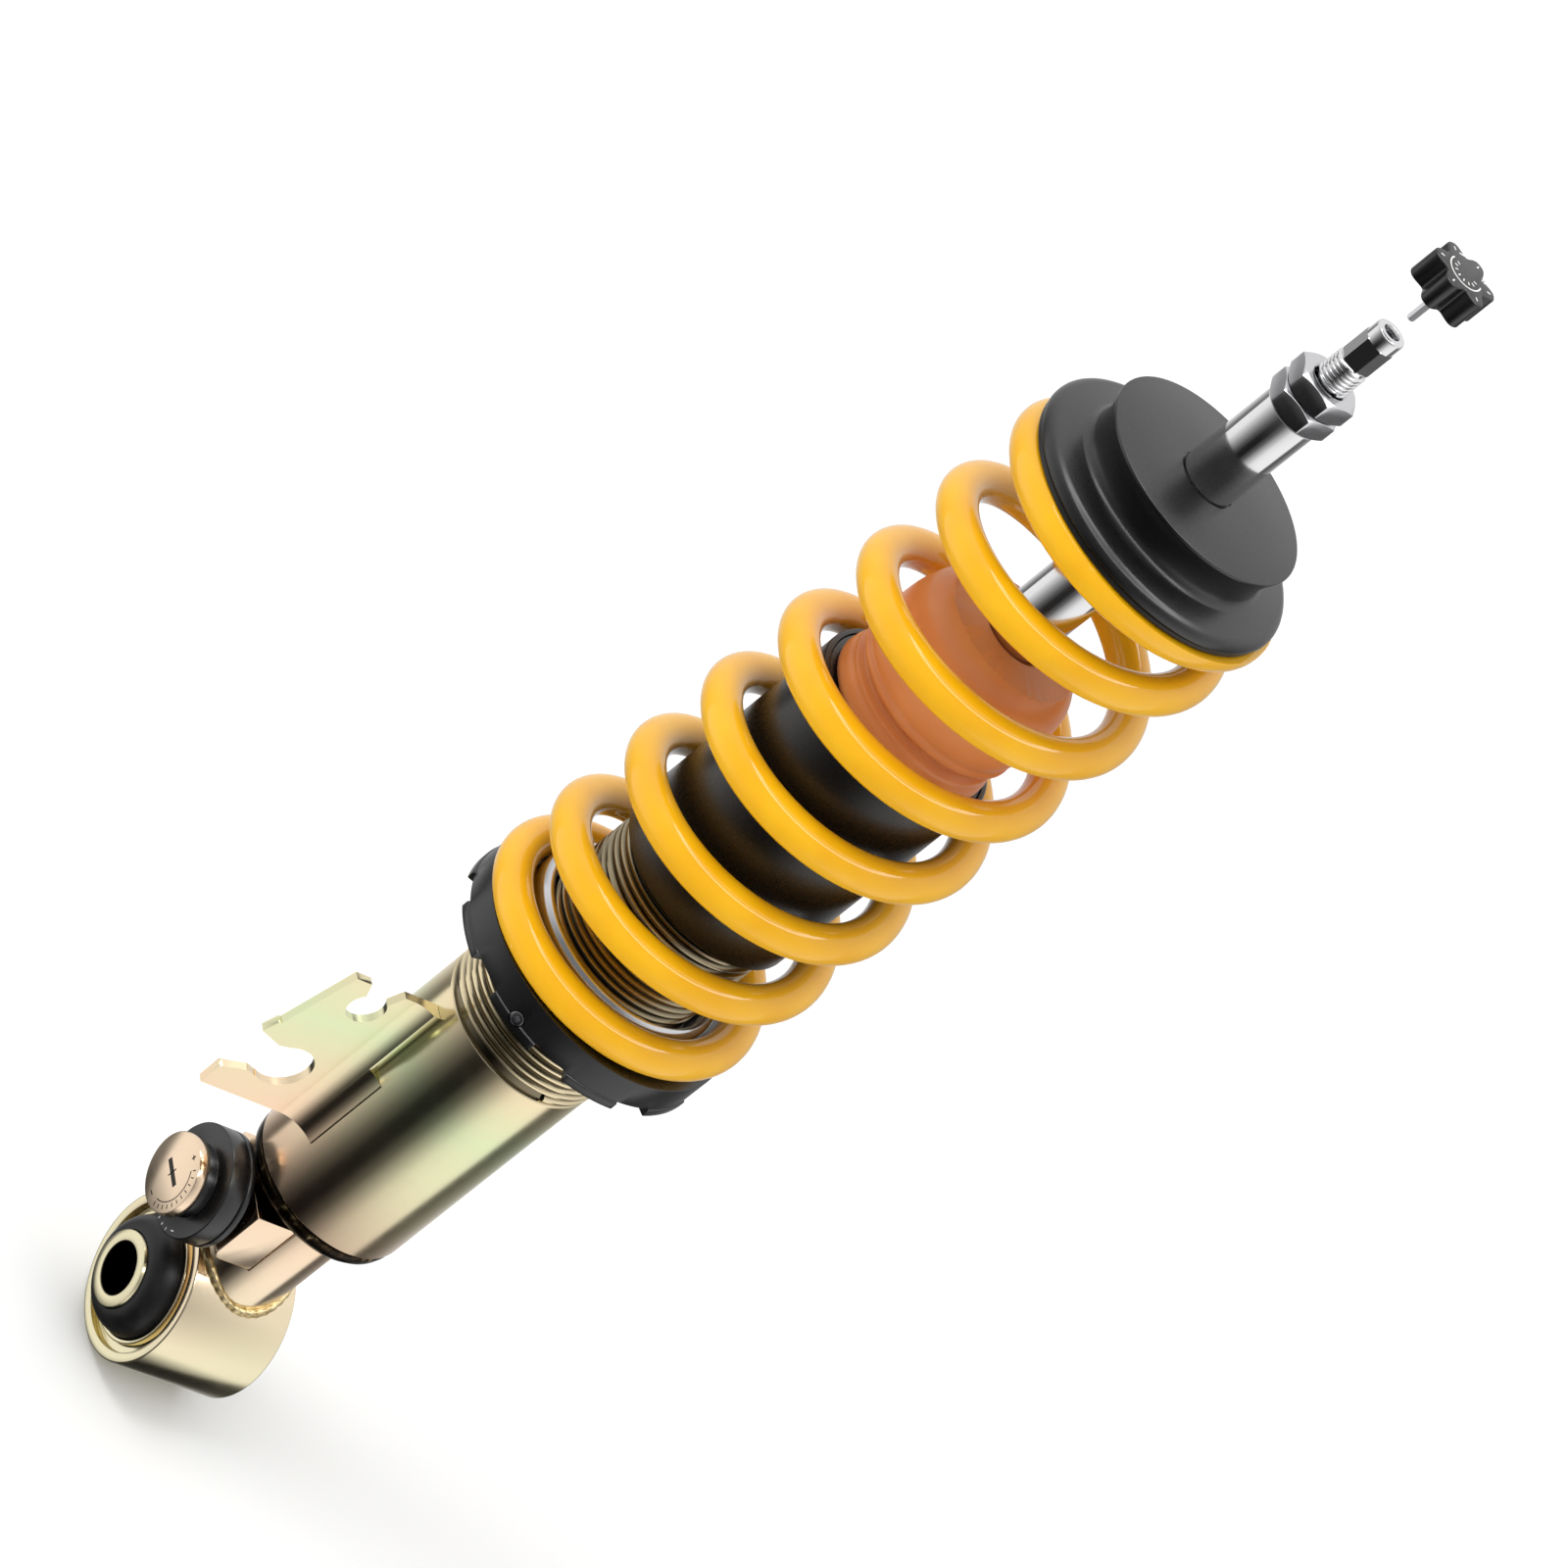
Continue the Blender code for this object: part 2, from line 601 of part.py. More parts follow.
def make_upper_seat(strut):
    underside = ROD_SHOULDER + GAP
    flange = 0.3738
    pilot = 0.0298
    bore = ROD_END_RADIUS + GAP
    section = [
        (bore, underside),
        (0.0255, underside),
        (0.0255, 0.3640),
        (pilot - 0.0010, 0.3640),
        (pilot, 0.3650),
        (pilot, flange),
        (SEAT_RADIUS - 0.0006, flange),
        (SEAT_RADIUS, flange + 0.0006),
        (SEAT_RADIUS, flange + 0.0025),
        (SEAT_RADIUS - 0.0020, flange + 0.0036),
        (0.0305, flange + 0.0045),
        (0.0290, flange + 0.0056),
        (0.0286, flange + 0.0100),
        (0.0292, flange + 0.0138),
        (0.0307, SEAT_TOP - 0.0008),
        (0.0307, SEAT_TOP - 0.0003),
        (0.0304, SEAT_TOP),
        (SPACER_RADIUS + GAP, SEAT_TOP),
        (SPACER_RADIUS + GAP, SEAT_TOP - GAP),
        (bore, SEAT_TOP - GAP),
    ]
    turned("upper_spring_seat", strut, section, LARGE_SIDES, BLACK, 0.45, 0.5)
    pad = ring(pilot + 0.0004, SEAT_RADIUS - 0.0005, SPRING_TOP + GAP, flange - GAP)
    turned("spring_pad", strut, pad, LARGE_SIDES, RUBBER, 0.6)


def make_rod_end(strut):
    bore = ROD_END_RADIUS + GAP
    spacer = ring(bore, SPACER_RADIUS, SEAT_TOP, LOWER_NUT_BOTTOM - GAP, 0.0003)
    turned("spacer_sleeve", strut, spacer, MEDIUM_SIDES, CHROME, 0.1, 1.0)
    bottom = LOWER_NUT_BOTTOM
    for name, turn in (("lower_nut", -45.0), ("upper_nut", -38.0)):
        outline = hexagon(NUT_FLATS, turn + 30)
        nut = add_piece(name, prism(outline, bottom, bottom + NUT_HEIGHT), strut, CHROME, 0.15, 1.0)
        boolean(nut, prism(circle(bore, SMALL_SIDES), bottom - 0.01, bottom + 0.02), "DIFFERENCE")
        bottom += NUT_HEIGHT + GAP


def make_adjuster_rod(axis):
    radius = 0.0021
    top = ROD_TOP - 0.0012
    section = [(0, 0.2160), (radius, 0.2200), (radius, top), (0, top)]
    rod = turned("rebound_adjuster_rod", axis, section, SMALL_SIDES, STEEL, 0.3, 1.0)
    boolean(rod, prism(hexagon(0.0026), top - 0.0055, top + 0.0100), "DIFFERENCE")


def make_knob(axis):
    """A fluted knob: the rim's radius rises and falls six times round it."""
    sides = 72
    outline = []
    for i in range(sides):
        angle = 2 * math.pi * i / sides
        flute = 0.5 - 0.5 * math.cos(6 * angle)
        radius = KNOB_RADIUS - 0.0024 * flute**2
        outline.append((radius * math.cos(angle), radius * math.sin(angle)))
    knob = add_piece("rebound_knob", prism(outline, KNOB_BOTTOM, KNOB_TOP), axis, BLACK, 0.4, 0.4)
    boolean(knob, prism(circle(0.0016, 12), KNOB_BOTTOM - 0.0050, KNOB_TOP - 0.0060), "DIFFERENCE")
    pin = prism(hexagon(0.0020), 0.4588, KNOB_TOP - 0.0065)
    add_piece("knob_pin", pin, axis, STEEL, 0.25, 1.0)


def main():
    clear_scene()
    strut = make_axis("strut_axis")
    eye_axis = make_axis("eye_axis", outward=(0, -1, 0))
    core_axis = make_axis("bush_core_axis", outward=(0, -1, 0))
    low_axis = make_axis("low_dial_axis", (0, 0, DIAL_HEIGHT), (0, -1, 0))
    high_axis = make_axis("high_dial_axis", (0, 0, DIAL_HEIGHT), (0, -1, 0))
    rod_axis = make_axis("rod_axis")
    perch_axis = make_axis("perch_axis")
    collar_axis = make_axis("collar_axis")
    rebound_axis = make_axis("rebound_axis")
    knob_axis = make_axis("knob_axis")
    make_eye(eye_axis)
    make_bush(eye_axis, core_axis)
    make_tube(strut)
    make_neck(strut, high_axis, eye_axis)
    make_housing(high_axis)
    make_dials(low_axis, high_axis)
    make_bracket(strut)
    make_tube_inside(strut)
    make_dust_sleeve(strut)
    make_collar(collar_axis)
    make_spring(perch_axis)
    make_centring_ring(perch_axis)
    make_piston(rod_axis)
    make_rod(rod_axis)
    make_upper_seat(rod_axis)
    make_rod_end(rod_axis)
    make_adjuster_rod(rebound_axis)
    make_knob(knob_axis)


main()
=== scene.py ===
import math

import bmesh
import bpy
from mathutils import Matrix, Vector


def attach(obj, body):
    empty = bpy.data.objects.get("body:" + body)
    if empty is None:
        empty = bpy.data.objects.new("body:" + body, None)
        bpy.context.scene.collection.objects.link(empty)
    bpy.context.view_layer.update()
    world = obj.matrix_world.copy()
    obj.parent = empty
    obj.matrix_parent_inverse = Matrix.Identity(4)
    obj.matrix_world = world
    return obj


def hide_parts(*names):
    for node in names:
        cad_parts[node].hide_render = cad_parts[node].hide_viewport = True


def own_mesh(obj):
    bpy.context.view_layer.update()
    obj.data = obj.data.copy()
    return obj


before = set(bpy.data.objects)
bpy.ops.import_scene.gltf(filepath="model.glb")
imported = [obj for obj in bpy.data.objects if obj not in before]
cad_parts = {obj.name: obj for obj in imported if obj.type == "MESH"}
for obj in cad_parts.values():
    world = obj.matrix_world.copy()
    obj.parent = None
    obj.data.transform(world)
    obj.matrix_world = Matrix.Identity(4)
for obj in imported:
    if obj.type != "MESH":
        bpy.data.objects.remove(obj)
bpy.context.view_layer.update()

scene = bpy.context.scene
mm = 0.001
print("coilover: frame loaded")


# ---- small helpers ----

def linearColour(code):
    # sRGB hex to the linear values that shaders take
    def channel(value):
        return value / 12.92 if value <= 0.04045 else ((value + 0.055) / 1.055) ** 2.4

    return tuple(channel(int(code[i:i + 2], 16) / 255) for i in (1, 3, 5)) + (1.0,)


def addNode(tree, kind, settings=None, links=None, feeds=None):
    # a node, its settings (own properties, input values or ramp stops), what drives its inputs and what its outputs drive
    node = tree.nodes.new(kind)
    for key, value in (settings or {}).items():
        if key == "stops":
            for spot in value[2:]:
                node.color_ramp.elements.new(spot[0])
            for element, (spot, colour) in zip(node.color_ramp.elements, value):
                element.position = spot
                element.color = linearColour(colour) if isinstance(colour, str) else (colour, colour, colour, 1)
        elif isinstance(key, str) and hasattr(node, key):
            setattr(node, key, value)
        else:
            node.inputs[key].default_value = value
    for key, source in (links or {}).items():
        tree.links.new(source, node.inputs[key])
    for key, target in (feeds or {}).items():
        tree.links.new(node.outputs[key], target)
    return node


def newFinish(name, slot, colour, **sockets):
    # a Principled material and the record's slot that it belongs to
    material = bpy.data.materials.new(name)
    material.use_nodes = True
    shader = material.node_tree.nodes["Principled BSDF"]
    shader.inputs["Base Color"].default_value = linearColour(colour)
    for socket, value in sockets.items():
        shader.inputs[socket].default_value = value
    material["slot"] = slot
    return material, material.node_tree, shader


def objectPoint(tree, scale=(1, 1, 1)):
    # Object coordinates, stretched where a pattern runs one way
    coords = addNode(tree, "ShaderNodeTexCoord")
    return addNode(tree, "ShaderNodeMapping", {"Scale": scale}, {"Vector": coords.outputs["Object"]}).outputs["Vector"]


def turnProfile(profile, steps=128, closed=True):
    # spins a half section about Z, then rounds its corners; a corner is (radius, height, rounding) in mm
    bm = bmesh.new()
    points = [bm.verts.new((corner[0] * mm, 0, corner[1] * mm)) for corner in profile]
    edges = [bm.edges.new(pair) for pair in zip(points, points[1:])]
    if closed:
        edges.append(bm.edges.new((points[-1], points[0])))
    bmesh.ops.spin(bm, geom=points + edges, cent=(0, 0, 0), axis=(0, 0, 1),
                   angle=2 * math.pi, steps=steps, use_merge=True)
    bmesh.ops.remove_doubles(bm, verts=bm.verts, dist=1e-6)
    bmesh.ops.recalc_face_normals(bm, faces=bm.faces)
    for radius, height, rounding in profile:
        if rounding:
            corner = [edge for edge in bm.edges if all(
                abs(math.hypot(v.co.x, v.co.y) - radius * mm) < 1e-6 and abs(v.co.z - height * mm) < 1e-6
                for v in edge.verts)]
            bmesh.ops.bevel(bm, geom=corner, offset=rounding * mm, offset_type="OFFSET",
                            segments=2 if rounding < 0.35 else 4 if rounding < 1.5 else 8,
                            profile=0.5, affect="EDGES", clamp_overlap=True, material=-1)
    return bm


def joinMeshes(first, *others):
    # adds bmeshes to the first one
    for other in others:
        mesh = bpy.data.meshes.new("join")
        other.to_mesh(mesh)
        other.free()
        first.from_mesh(mesh)
        bpy.data.meshes.remove(mesh)
    return first


def carve(bm, tool, operation="DIFFERENCE"):
    # cuts one bmesh with another through a Boolean modifier
    helpers = []
    for source in (bm, tool):
        bmesh.ops.recalc_face_normals(source, faces=source.faces)
        mesh = bpy.data.meshes.new("carve")
        source.to_mesh(mesh)
        source.free()
        helpers.append(bpy.data.objects.new("carve", mesh))
        scene.collection.objects.link(helpers[-1])
    modifier = helpers[0].modifiers.new("carve", "BOOLEAN")
    modifier.operation = operation
    modifier.solver = "EXACT"
    modifier.object = helpers[1]
    bpy.context.view_layer.update()
    graph = bpy.context.evaluated_depsgraph_get()
    cut = bpy.data.meshes.new_from_object(helpers[0].evaluated_get(graph))
    result = bmesh.new()
    result.from_mesh(cut)
    for mesh in [cut] + [helper.data for helper in helpers]:
        bpy.data.meshes.remove(mesh)
    return result


def roundEdges(bm, width, segments=2, angle=30, chosen=None):
    # bevels the edges that turn more than an angle, or only those that a test picks
    sharp = [edge for edge in bm.edges if len(edge.link_faces) == 2
             and edge.calc_face_angle(0) > math.radians(angle) and (chosen is None or chosen(edge))]
    bmesh.ops.bevel(bm, geom=sharp, offset=width * mm, offset_type="OFFSET", segments=segments,
                    profile=0.5, affect="EDGES", clamp_overlap=True, material=-1)
    return bm


def place(bm, matrix):
    bmesh.ops.transform(bm, matrix=matrix, verts=bm.verts)
    return bm


def makePiece(name, bm, material, body, *replaced, sharp=32):
    bmesh.ops.remove_doubles(bm, verts=bm.verts, dist=1e-6)
    bmesh.ops.recalc_face_normals(bm, faces=bm.faces)
    mesh = bpy.data.meshes.new(name)
    bm.to_mesh(mesh)
    bm.free()
    mesh.shade_smooth()
    mesh.set_sharp_from_angle(angle=math.radians(sharp))
    mesh.materials.append(material)
    piece = bpy.data.objects.new(name, mesh)
    scene.collection.objects.link(piece)
    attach(piece, body)
    if replaced:
        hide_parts(*replaced)
    return piece


def prism(outline, low, high):
    # an outline in mm, filled and extruded along Z
    bm = bmesh.new()
    face = bm.faces.new([bm.verts.new((x * mm, y * mm, low * mm)) for x, y in outline])
    grown = bmesh.ops.extrude_face_region(bm, geom=[face])["geom"]
    top = [v for v in grown if isinstance(v, bmesh.types.BMVert)]
    bmesh.ops.translate(bm, verts=top, vec=(0, 0, (high - low) * mm))
    bmesh.ops.recalc_face_normals(bm, faces=bm.faces)
    return bm


def rod(radius, low, high, segments=48, turn=0):
    # a capped cylinder or prism along Z, in mm, with a corner at this turn from X
    bm = bmesh.new()
    middle = Matrix.Translation((0, 0, (low + high) / 2 * mm)) @ Matrix.Rotation(math.radians(turn - 90), 4, "Z")
    bmesh.ops.create_cone(bm, cap_ends=True, segments=segments, radius1=radius * mm, radius2=radius * mm,
                          depth=(high - low) * mm, matrix=middle)
    return bm


def screwThread(minor, major, pitch, low, turns, steps=72):
    # one turn of a closed ridge, its foot sunk into the core, repeated up the Z axis
    foot = minor - 0.25
    ridge = [(foot, 0.0), (minor, 0.0), (major - 0.1, pitch * 0.30), (major, pitch * 0.36),
             (major, pitch * 0.58), (major - 0.1, pitch * 0.64), (minor, pitch * 0.94), (foot, pitch * 0.94)]
    bm = bmesh.new()
    section = [bm.verts.new((r * mm, 0, (low + z) * mm)) for r, z in ridge]
    section += [bm.edges.new((section[i], section[(i + 1) % len(ridge)])) for i in range(len(ridge))]
    bmesh.ops.spin(bm, geom=section, cent=(0, 0, 0), axis=(0, 0, 1), dvec=(0, 0, pitch * mm / steps),
                   angle=2 * math.pi, steps=steps)
    oneTurn = bm.verts[:] + bm.edges[:] + bm.faces[:]
    for i in range(1, turns):
        copied = bmesh.ops.duplicate(bm, geom=oneTurn)["geom"]
        bmesh.ops.translate(bm, verts=[v for v in copied if isinstance(v, bmesh.types.BMVert)], vec=(0, 0, i * pitch * mm))
    bmesh.ops.remove_doubles(bm, verts=bm.verts, dist=1e-6)
    bmesh.ops.holes_fill(bm, edges=[edge for edge in bm.edges if edge.is_boundary], sides=0)
    return bm


toEye = Matrix.Rotation(math.radians(90), 4, "X")   # turns a piece from the Z axis to -Y, along the eye's bolt
toDial = Matrix.Translation((0, 0, 41 * mm)) @ toEye   # the compression dials' axis


def outward(angle, height):
    # turns a piece's Z axis to point out from the strut at this angle and height
    return Matrix.Translation((0, 0, height * mm)) @ Matrix.Rotation(math.radians(angle), 4, "Z") \
        @ Matrix.Rotation(math.radians(90), 4, "Y")


# ---- camera, floor and light ----

# the camera looks down 30 degrees and is rolled, so that the strut lies across the frame
view = {
    "place": (1.16207, -1.17852, 1.21514),
    "right": (0.1658256, 0.7214064, 0.6723650),
    "up": (-0.7763594, -0.3249159, 0.5400886),
    "back": (0.6080855, -0.6115574, 0.5061913),
    "lens": 174.6,
}
cameraData = bpy.data.cameras.new("camera")
cameraData.lens = view["lens"]
cameraData.sensor_width = 36
camera = bpy.data.objects.new("camera", cameraData)
scene.collection.objects.link(camera)
turn = Matrix((view["right"], view["up"], view["back"])).transposed().to_4x4()
camera.matrix_world = Matrix.Translation(view["place"]) @ turn
scene.camera = camera

studio = {"floor": "#F8F8F7", "floorSize": 8.0, "fillLow": 0.55, "fillHigh": 1.15, "keyPower": 13}

floorMesh = bmesh.new()
bmesh.ops.create_grid(floorMesh, x_segments=1, y_segments=1, size=studio["floorSize"] / 2,
                      matrix=Matrix.Translation((0, 0, -24.3 * mm)))
floorData = bpy.data.meshes.new("floor")
floorMesh.to_mesh(floorData)
floorMesh.free()
floor = bpy.data.objects.new("floor", floorData)
scene.collection.objects.link(floor)
floorPaper, tree, shader = newFinish("matteFloorPaper", "", studio["floor"], Roughness=0.9)
grain = addNode(tree, "ShaderNodeTexNoise", {"Scale": 900.0, "Detail": 3.0}, {"Vector": objectPoint(tree)})
addNode(tree, "ShaderNodeBump", {"Strength": 0.05, "Distance": 0.0002}, {"Height": grain.outputs["Fac"]},
        {"Normal": shader.inputs["Normal"]})
floorData.materials.append(floorPaper)
floor.visible_glossy = False   # polished parts mirror the studio's panels, not the paper

# what polished parts mirror: white panels either side that fade to a dark front, and a white wall behind;
# each stop is (degrees round from the front, brightness)
panels = [(-180, 0.80), (-160, 0.80), (-138, 0.55), (-122, 0.26), (-112, 0.14), (-106, 0.13), (-103, 0.98),
          (-75, 0.89), (-58, 0.577), (-42, 0.31), (-26, 0.115), (-10, 0.018), (6, 0.012), (22, 0.12), (38, 0.48),
          (54, 0.88), (70, 0.98), (95, 1.0), (103, 0.95), (107, 0.11), (118, 0.11), (134, 0.22), (150, 0.35),
          (166, 0.60), (180, 0.80)]
world = bpy.data.worlds.new("studio")
scene.world = world
world.use_nodes = True
tree = world.node_tree
tree.nodes.clear()
direction = addNode(tree, "ShaderNodeTexCoord")
ray = addNode(tree, "ShaderNodeSeparateXYZ", {}, {"Vector": direction.outputs["Generated"]})
bearing = addNode(tree, "ShaderNodeMath", {"operation": "ARCTAN2"}, {0: ray.outputs["Y"], 1: ray.outputs["X"]})
turned = addNode(tree, "ShaderNodeMath", {"operation": "ADD", 1: math.radians(44.8)}, {0: bearing.outputs[0]})
fromFront = addNode(tree, "ShaderNodeMath", {"operation": "WRAP", 1: math.pi, 2: -math.pi}, {0: turned.outputs[0]})
share = addNode(tree, "ShaderNodeMapRange", {"From Min": -math.pi, "From Max": math.pi}, {"Value": fromFront.outputs[0]})
panel = addNode(tree, "ShaderNodeValToRGB", {"stops": [((angle + 180) / 360, light) for angle, light in panels]},
                {"Fac": share.outputs["Result"]})
# below the object the mirror is dark; above it a dim ceiling brightens to the back and holds one narrow strip lamp
under = addNode(tree, "ShaderNodeMapRange", {"From Min": -0.80, "From Max": -0.60, "To Min": 0.1, "To Max": 1.0},
                {"Value": ray.outputs["Z"]})
sides = addNode(tree, "ShaderNodeMath", {"operation": "MULTIPLY"}, {0: panel.outputs["Color"], 1: under.outputs["Result"]})
behind = addNode(tree, "ShaderNodeMath", {"operation": "ABSOLUTE"}, {0: fromFront.outputs[0]})
ceiling = addNode(tree, "ShaderNodeMapRange", {"From Min": 0.8, "From Max": 1.7, "To Min": 0.22, "To Max": 0.88},
                  {"Value": behind.outputs[0]})
rise = addNode(tree, "ShaderNodeMapRange", {"From Min": -0.40, "From Max": 0.45}, {"Value": ray.outputs["Z"]})
room = addNode(tree, "ShaderNodeMix", {}, {0: rise.outputs["Result"], 2: sides.outputs[0], 3: ceiling.outputs["Result"]})
lamp = addNode(tree, "ShaderNodeValToRGB", {"stops": [(0.0, 0.0), (0.84, 0.0), (0.86, 1.0), (0.90, 1.0), (0.92, 0.15), (1.0, 0.15)]},
               {"Fac": ray.outputs["Z"]})
seen = addNode(tree, "ShaderNodeMath", {"operation": "MULTIPLY_ADD", 1: 4.5}, {0: lamp.outputs["Color"], 2: room.outputs[0]})
mirrored = addNode(tree, "ShaderNodeBackground", {"Color": (1, 1, 1, 1)}, {"Strength": seen.outputs[0]})
soft = addNode(tree, "ShaderNodeMapRange", {"From Min": -1.0, "To Min": studio["fillLow"], "To Max": studio["fillHigh"]},
               {"Value": ray.outputs["Z"]})
fill = addNode(tree, "ShaderNodeBackground", {"Color": (1, 1, 1, 1)}, {"Strength": soft.outputs["Result"]})
rays = addNode(tree, "ShaderNodeLightPath")
lit = addNode(tree, "ShaderNodeMixShader", {}, {0: rays.outputs["Is Glossy Ray"], 1: fill.outputs[0], 2: mirrored.outputs[0]})
addNode(tree, "ShaderNodeOutputWorld", {}, {"Surface": lit.outputs[0]})
world.cycles.sampling_method = "NONE"   # the two skies differ by ray, so neither is sampled as a light

key = bpy.data.lights.new("key", "AREA")
key.shape = "DISK"
key.size = 0.9
key.energy = studio["keyPower"]
keyObject = bpy.data.objects.new("key", key)
scene.collection.objects.link(keyObject)
keyObject.location = (-0.3, -1.0, 1.9)
keyObject.rotation_euler = (Vector((0, 0, 0.2)) - keyObject.location).to_track_quat("-Z", "Y").to_euler()
keyObject.visible_glossy = False
scene.view_settings.view_transform = "Standard"
print("coilover: camera, floor and light")


# ---- finishes ----

coatZinc = {"eye": "#F3E9C3", "neck": "#FFE6C8", "base": "#FFDFBE", "middle": "#E6EFC0", "shoulder": "#F8E6BE"}

# yellow-passivated zinc plate on turned steel: a warm mirror whose film drifts from pink to green along the strut
zincYellow, tree, shader = newFinish("yellowPassivatedZinc", "yellow_zinc", "#FFE3C0", Metallic=1.0, Roughness=0.16)
spot = objectPoint(tree)
film = addNode(tree, "ShaderNodeTexNoise", {"Scale": 14.0, "Detail": 1.5, "Roughness": 0.4}, {"Vector": spot})   # 70 mm drifts
along = addNode(tree, "ShaderNodeSeparateXYZ", {}, {"Vector": spot})
drift = addNode(tree, "ShaderNodeMath", {"operation": "MULTIPLY_ADD", 1: 0.05, 2: -0.025}, {0: film.outputs["Fac"]})
height = addNode(tree, "ShaderNodeMath", {"operation": "ADD"}, {0: along.outputs["Z"], 1: drift.outputs[0]})
part = addNode(tree, "ShaderNodeMapRange", {"From Min": -0.03, "From Max": 0.15}, {"Value": height.outputs[0]})
addNode(tree, "ShaderNodeValToRGB", {"stops": [(0.15, coatZinc["eye"]), (0.36, coatZinc["neck"]), (0.55, coatZinc["base"]),
                                               (0.78, coatZinc["middle"]), (0.92, coatZinc["shoulder"])]},
        {"Fac": part.outputs["Result"]}, {"Color": shader.inputs["Base Color"]})
haze = addNode(tree, "ShaderNodeTexNoise", {"Scale": 260.0, "Detail": 4.0}, {"Vector": spot})   # 4 mm haze in the plate
addNode(tree, "ShaderNodeMapRange", {"To Min": 0.13, "To Max": 0.21}, {"Value": haze.outputs["Fac"]},
        {"Result": shader.inputs["Roughness"]})

# the same plate on the threaded tube, with painted shade: its thread roots darken, most of all above the collar where
# the spring shades the tube
zincThread, tree, shader = newFinish("yellowPassivatedThread", "yellow_zinc", "#F2E4C0", Metallic=1.0, Roughness=0.17)
spot = objectPoint(tree)
film = addNode(tree, "ShaderNodeTexNoise", {"Scale": 14.0, "Detail": 1.5, "Roughness": 0.4}, {"Vector": spot})
along = addNode(tree, "ShaderNodeSeparateXYZ", {}, {"Vector": spot})
drift = addNode(tree, "ShaderNodeMath", {"operation": "MULTIPLY_ADD", 1: 0.05, 2: -0.025}, {0: film.outputs["Fac"]})
height = addNode(tree, "ShaderNodeMath", {"operation": "ADD"}, {0: along.outputs["Z"], 1: drift.outputs[0]})
part = addNode(tree, "ShaderNodeMapRange", {"From Min": -0.03, "From Max": 0.15}, {"Value": height.outputs[0]})
plate = addNode(tree, "ShaderNodeValToRGB", {"stops": [(0.50, coatZinc["base"]), (0.78, coatZinc["middle"]), (0.92, coatZinc["shoulder"])]},
                {"Fac": part.outputs["Result"]})
flat = addNode(tree, "ShaderNodeCombineXYZ", {}, {"X": along.outputs["X"], "Y": along.outputs["Y"]})
radius = addNode(tree, "ShaderNodeVectorMath", {"operation": "LENGTH"}, {0: flat.outputs["Vector"]})
# painted shade: the colour darkens towards #1C140C in the thread roots and above the collar
root = addNode(tree, "ShaderNodeMapRange", {"From Min": 0.0241, "From Max": 0.0248, "To Min": 0.24, "To Max": 1.0},
               {"Value": radius.outputs["Value"]})
above = addNode(tree, "ShaderNodeMapRange", {"From Min": 0.158, "From Max": 0.172, "To Min": 1.0, "To Max": 0.42},
                {"Value": along.outputs["Z"]})
unshaded = addNode(tree, "ShaderNodeMath", {"operation": "MULTIPLY"}, {0: root.outputs["Result"], 1: above.outputs["Result"]})
threadShade = addNode(tree, "ShaderNodeMix", {"data_type": "RGBA", 6: linearColour("#1C140C")},
                {0: unshaded.outputs[0], 7: plate.outputs["Color"]})
tree.links.new(threadShade.outputs[2], shader.inputs["Base Color"])
haze = addNode(tree, "ShaderNodeTexNoise", {"Scale": 260.0, "Detail": 4.0}, {"Vector": spot})
addNode(tree, "ShaderNodeMapRange", {"To Min": 0.14, "To Max": 0.22}, {"Value": haze.outputs["Fac"]},
        {"Result": shader.inputs["Roughness"]})

# the weld bead round the eye: the same plate over ripples, so it is duller
platedWeld, tree, shader = newFinish("platedWeldBead", "yellow_zinc", "#D9C394", Metallic=1.0, Roughness=0.32)
drops = addNode(tree, "ShaderNodeTexNoise", {"Scale": 400.0, "Detail": 3.0}, {"Vector": objectPoint(tree)})   # 2.5 mm ripples
addNode(tree, "ShaderNodeValToRGB", {"stops": [(0.35, "#A8905F"), (0.6, "#E2CE9F")]}, {"Fac": drops.outputs["Fac"]},
        {"Color": shader.inputs["Base Color"]})
addNode(tree, "ShaderNodeBump", {"Strength": 0.25, "Distance": 0.0002}, {"Height": drops.outputs["Fac"]},
        {"Normal": shader.inputs["Normal"]})

# the bush's steel core: bright plate outside, and a bore painted near black as shade
boredZinc, tree, shader = newFinish("coreSleeveShadedBore", "yellow_zinc", "#F3E9C3", Metallic=1.0, Roughness=0.2)
across = addNode(tree, "ShaderNodeVectorMath", {"operation": "MULTIPLY", 1: (1, 0, 1)}, {0: objectPoint(tree)})
span = addNode(tree, "ShaderNodeVectorMath", {"operation": "LENGTH"}, {0: across.outputs["Vector"]})
# painted shade: inside the bore's radius the colour drops to near black
edge = addNode(tree, "ShaderNodeMapRange", {"From Min": 0.0075, "From Max": 0.0079}, {"Value": span.outputs["Value"]})
addNode(tree, "ShaderNodeValToRGB", {"stops": [(0.0, "#17130E"), (1.0, "#F3E9C3")]}, {"Fac": edge.outputs["Result"]},
        {"Color": shader.inputs["Base Color"]})

# the rolled and welded end of the tube: plate painted nearly black as shade, with a few bright drops painted as
# highlights
shadedTubeEnd, tree, shader = newFinish("tubeEndShadeAndGlints", "yellow_zinc", "#4A3C2C", Metallic=1.0, Roughness=0.24)
drops = addNode(tree, "ShaderNodeTexNoise", {"Scale": 330.0, "Detail": 3.0}, {"Vector": objectPoint(tree)})   # 3 mm ripples
# painted shade and painted highlights: mostly near-black colour, with bright spots from the ripple noise
addNode(tree, "ShaderNodeValToRGB", {"stops": [(0.45, "#2A221A"), (0.62, "#54452F"), (0.72, "#D8BE8C")]},
        {"Fac": drops.outputs["Fac"]}, {"Color": shader.inputs["Base Color"]})
addNode(tree, "ShaderNodeBump", {"Strength": 0.35, "Distance": 0.0003}, {"Height": drops.outputs["Fac"]},
        {"Normal": shader.inputs["Normal"]})

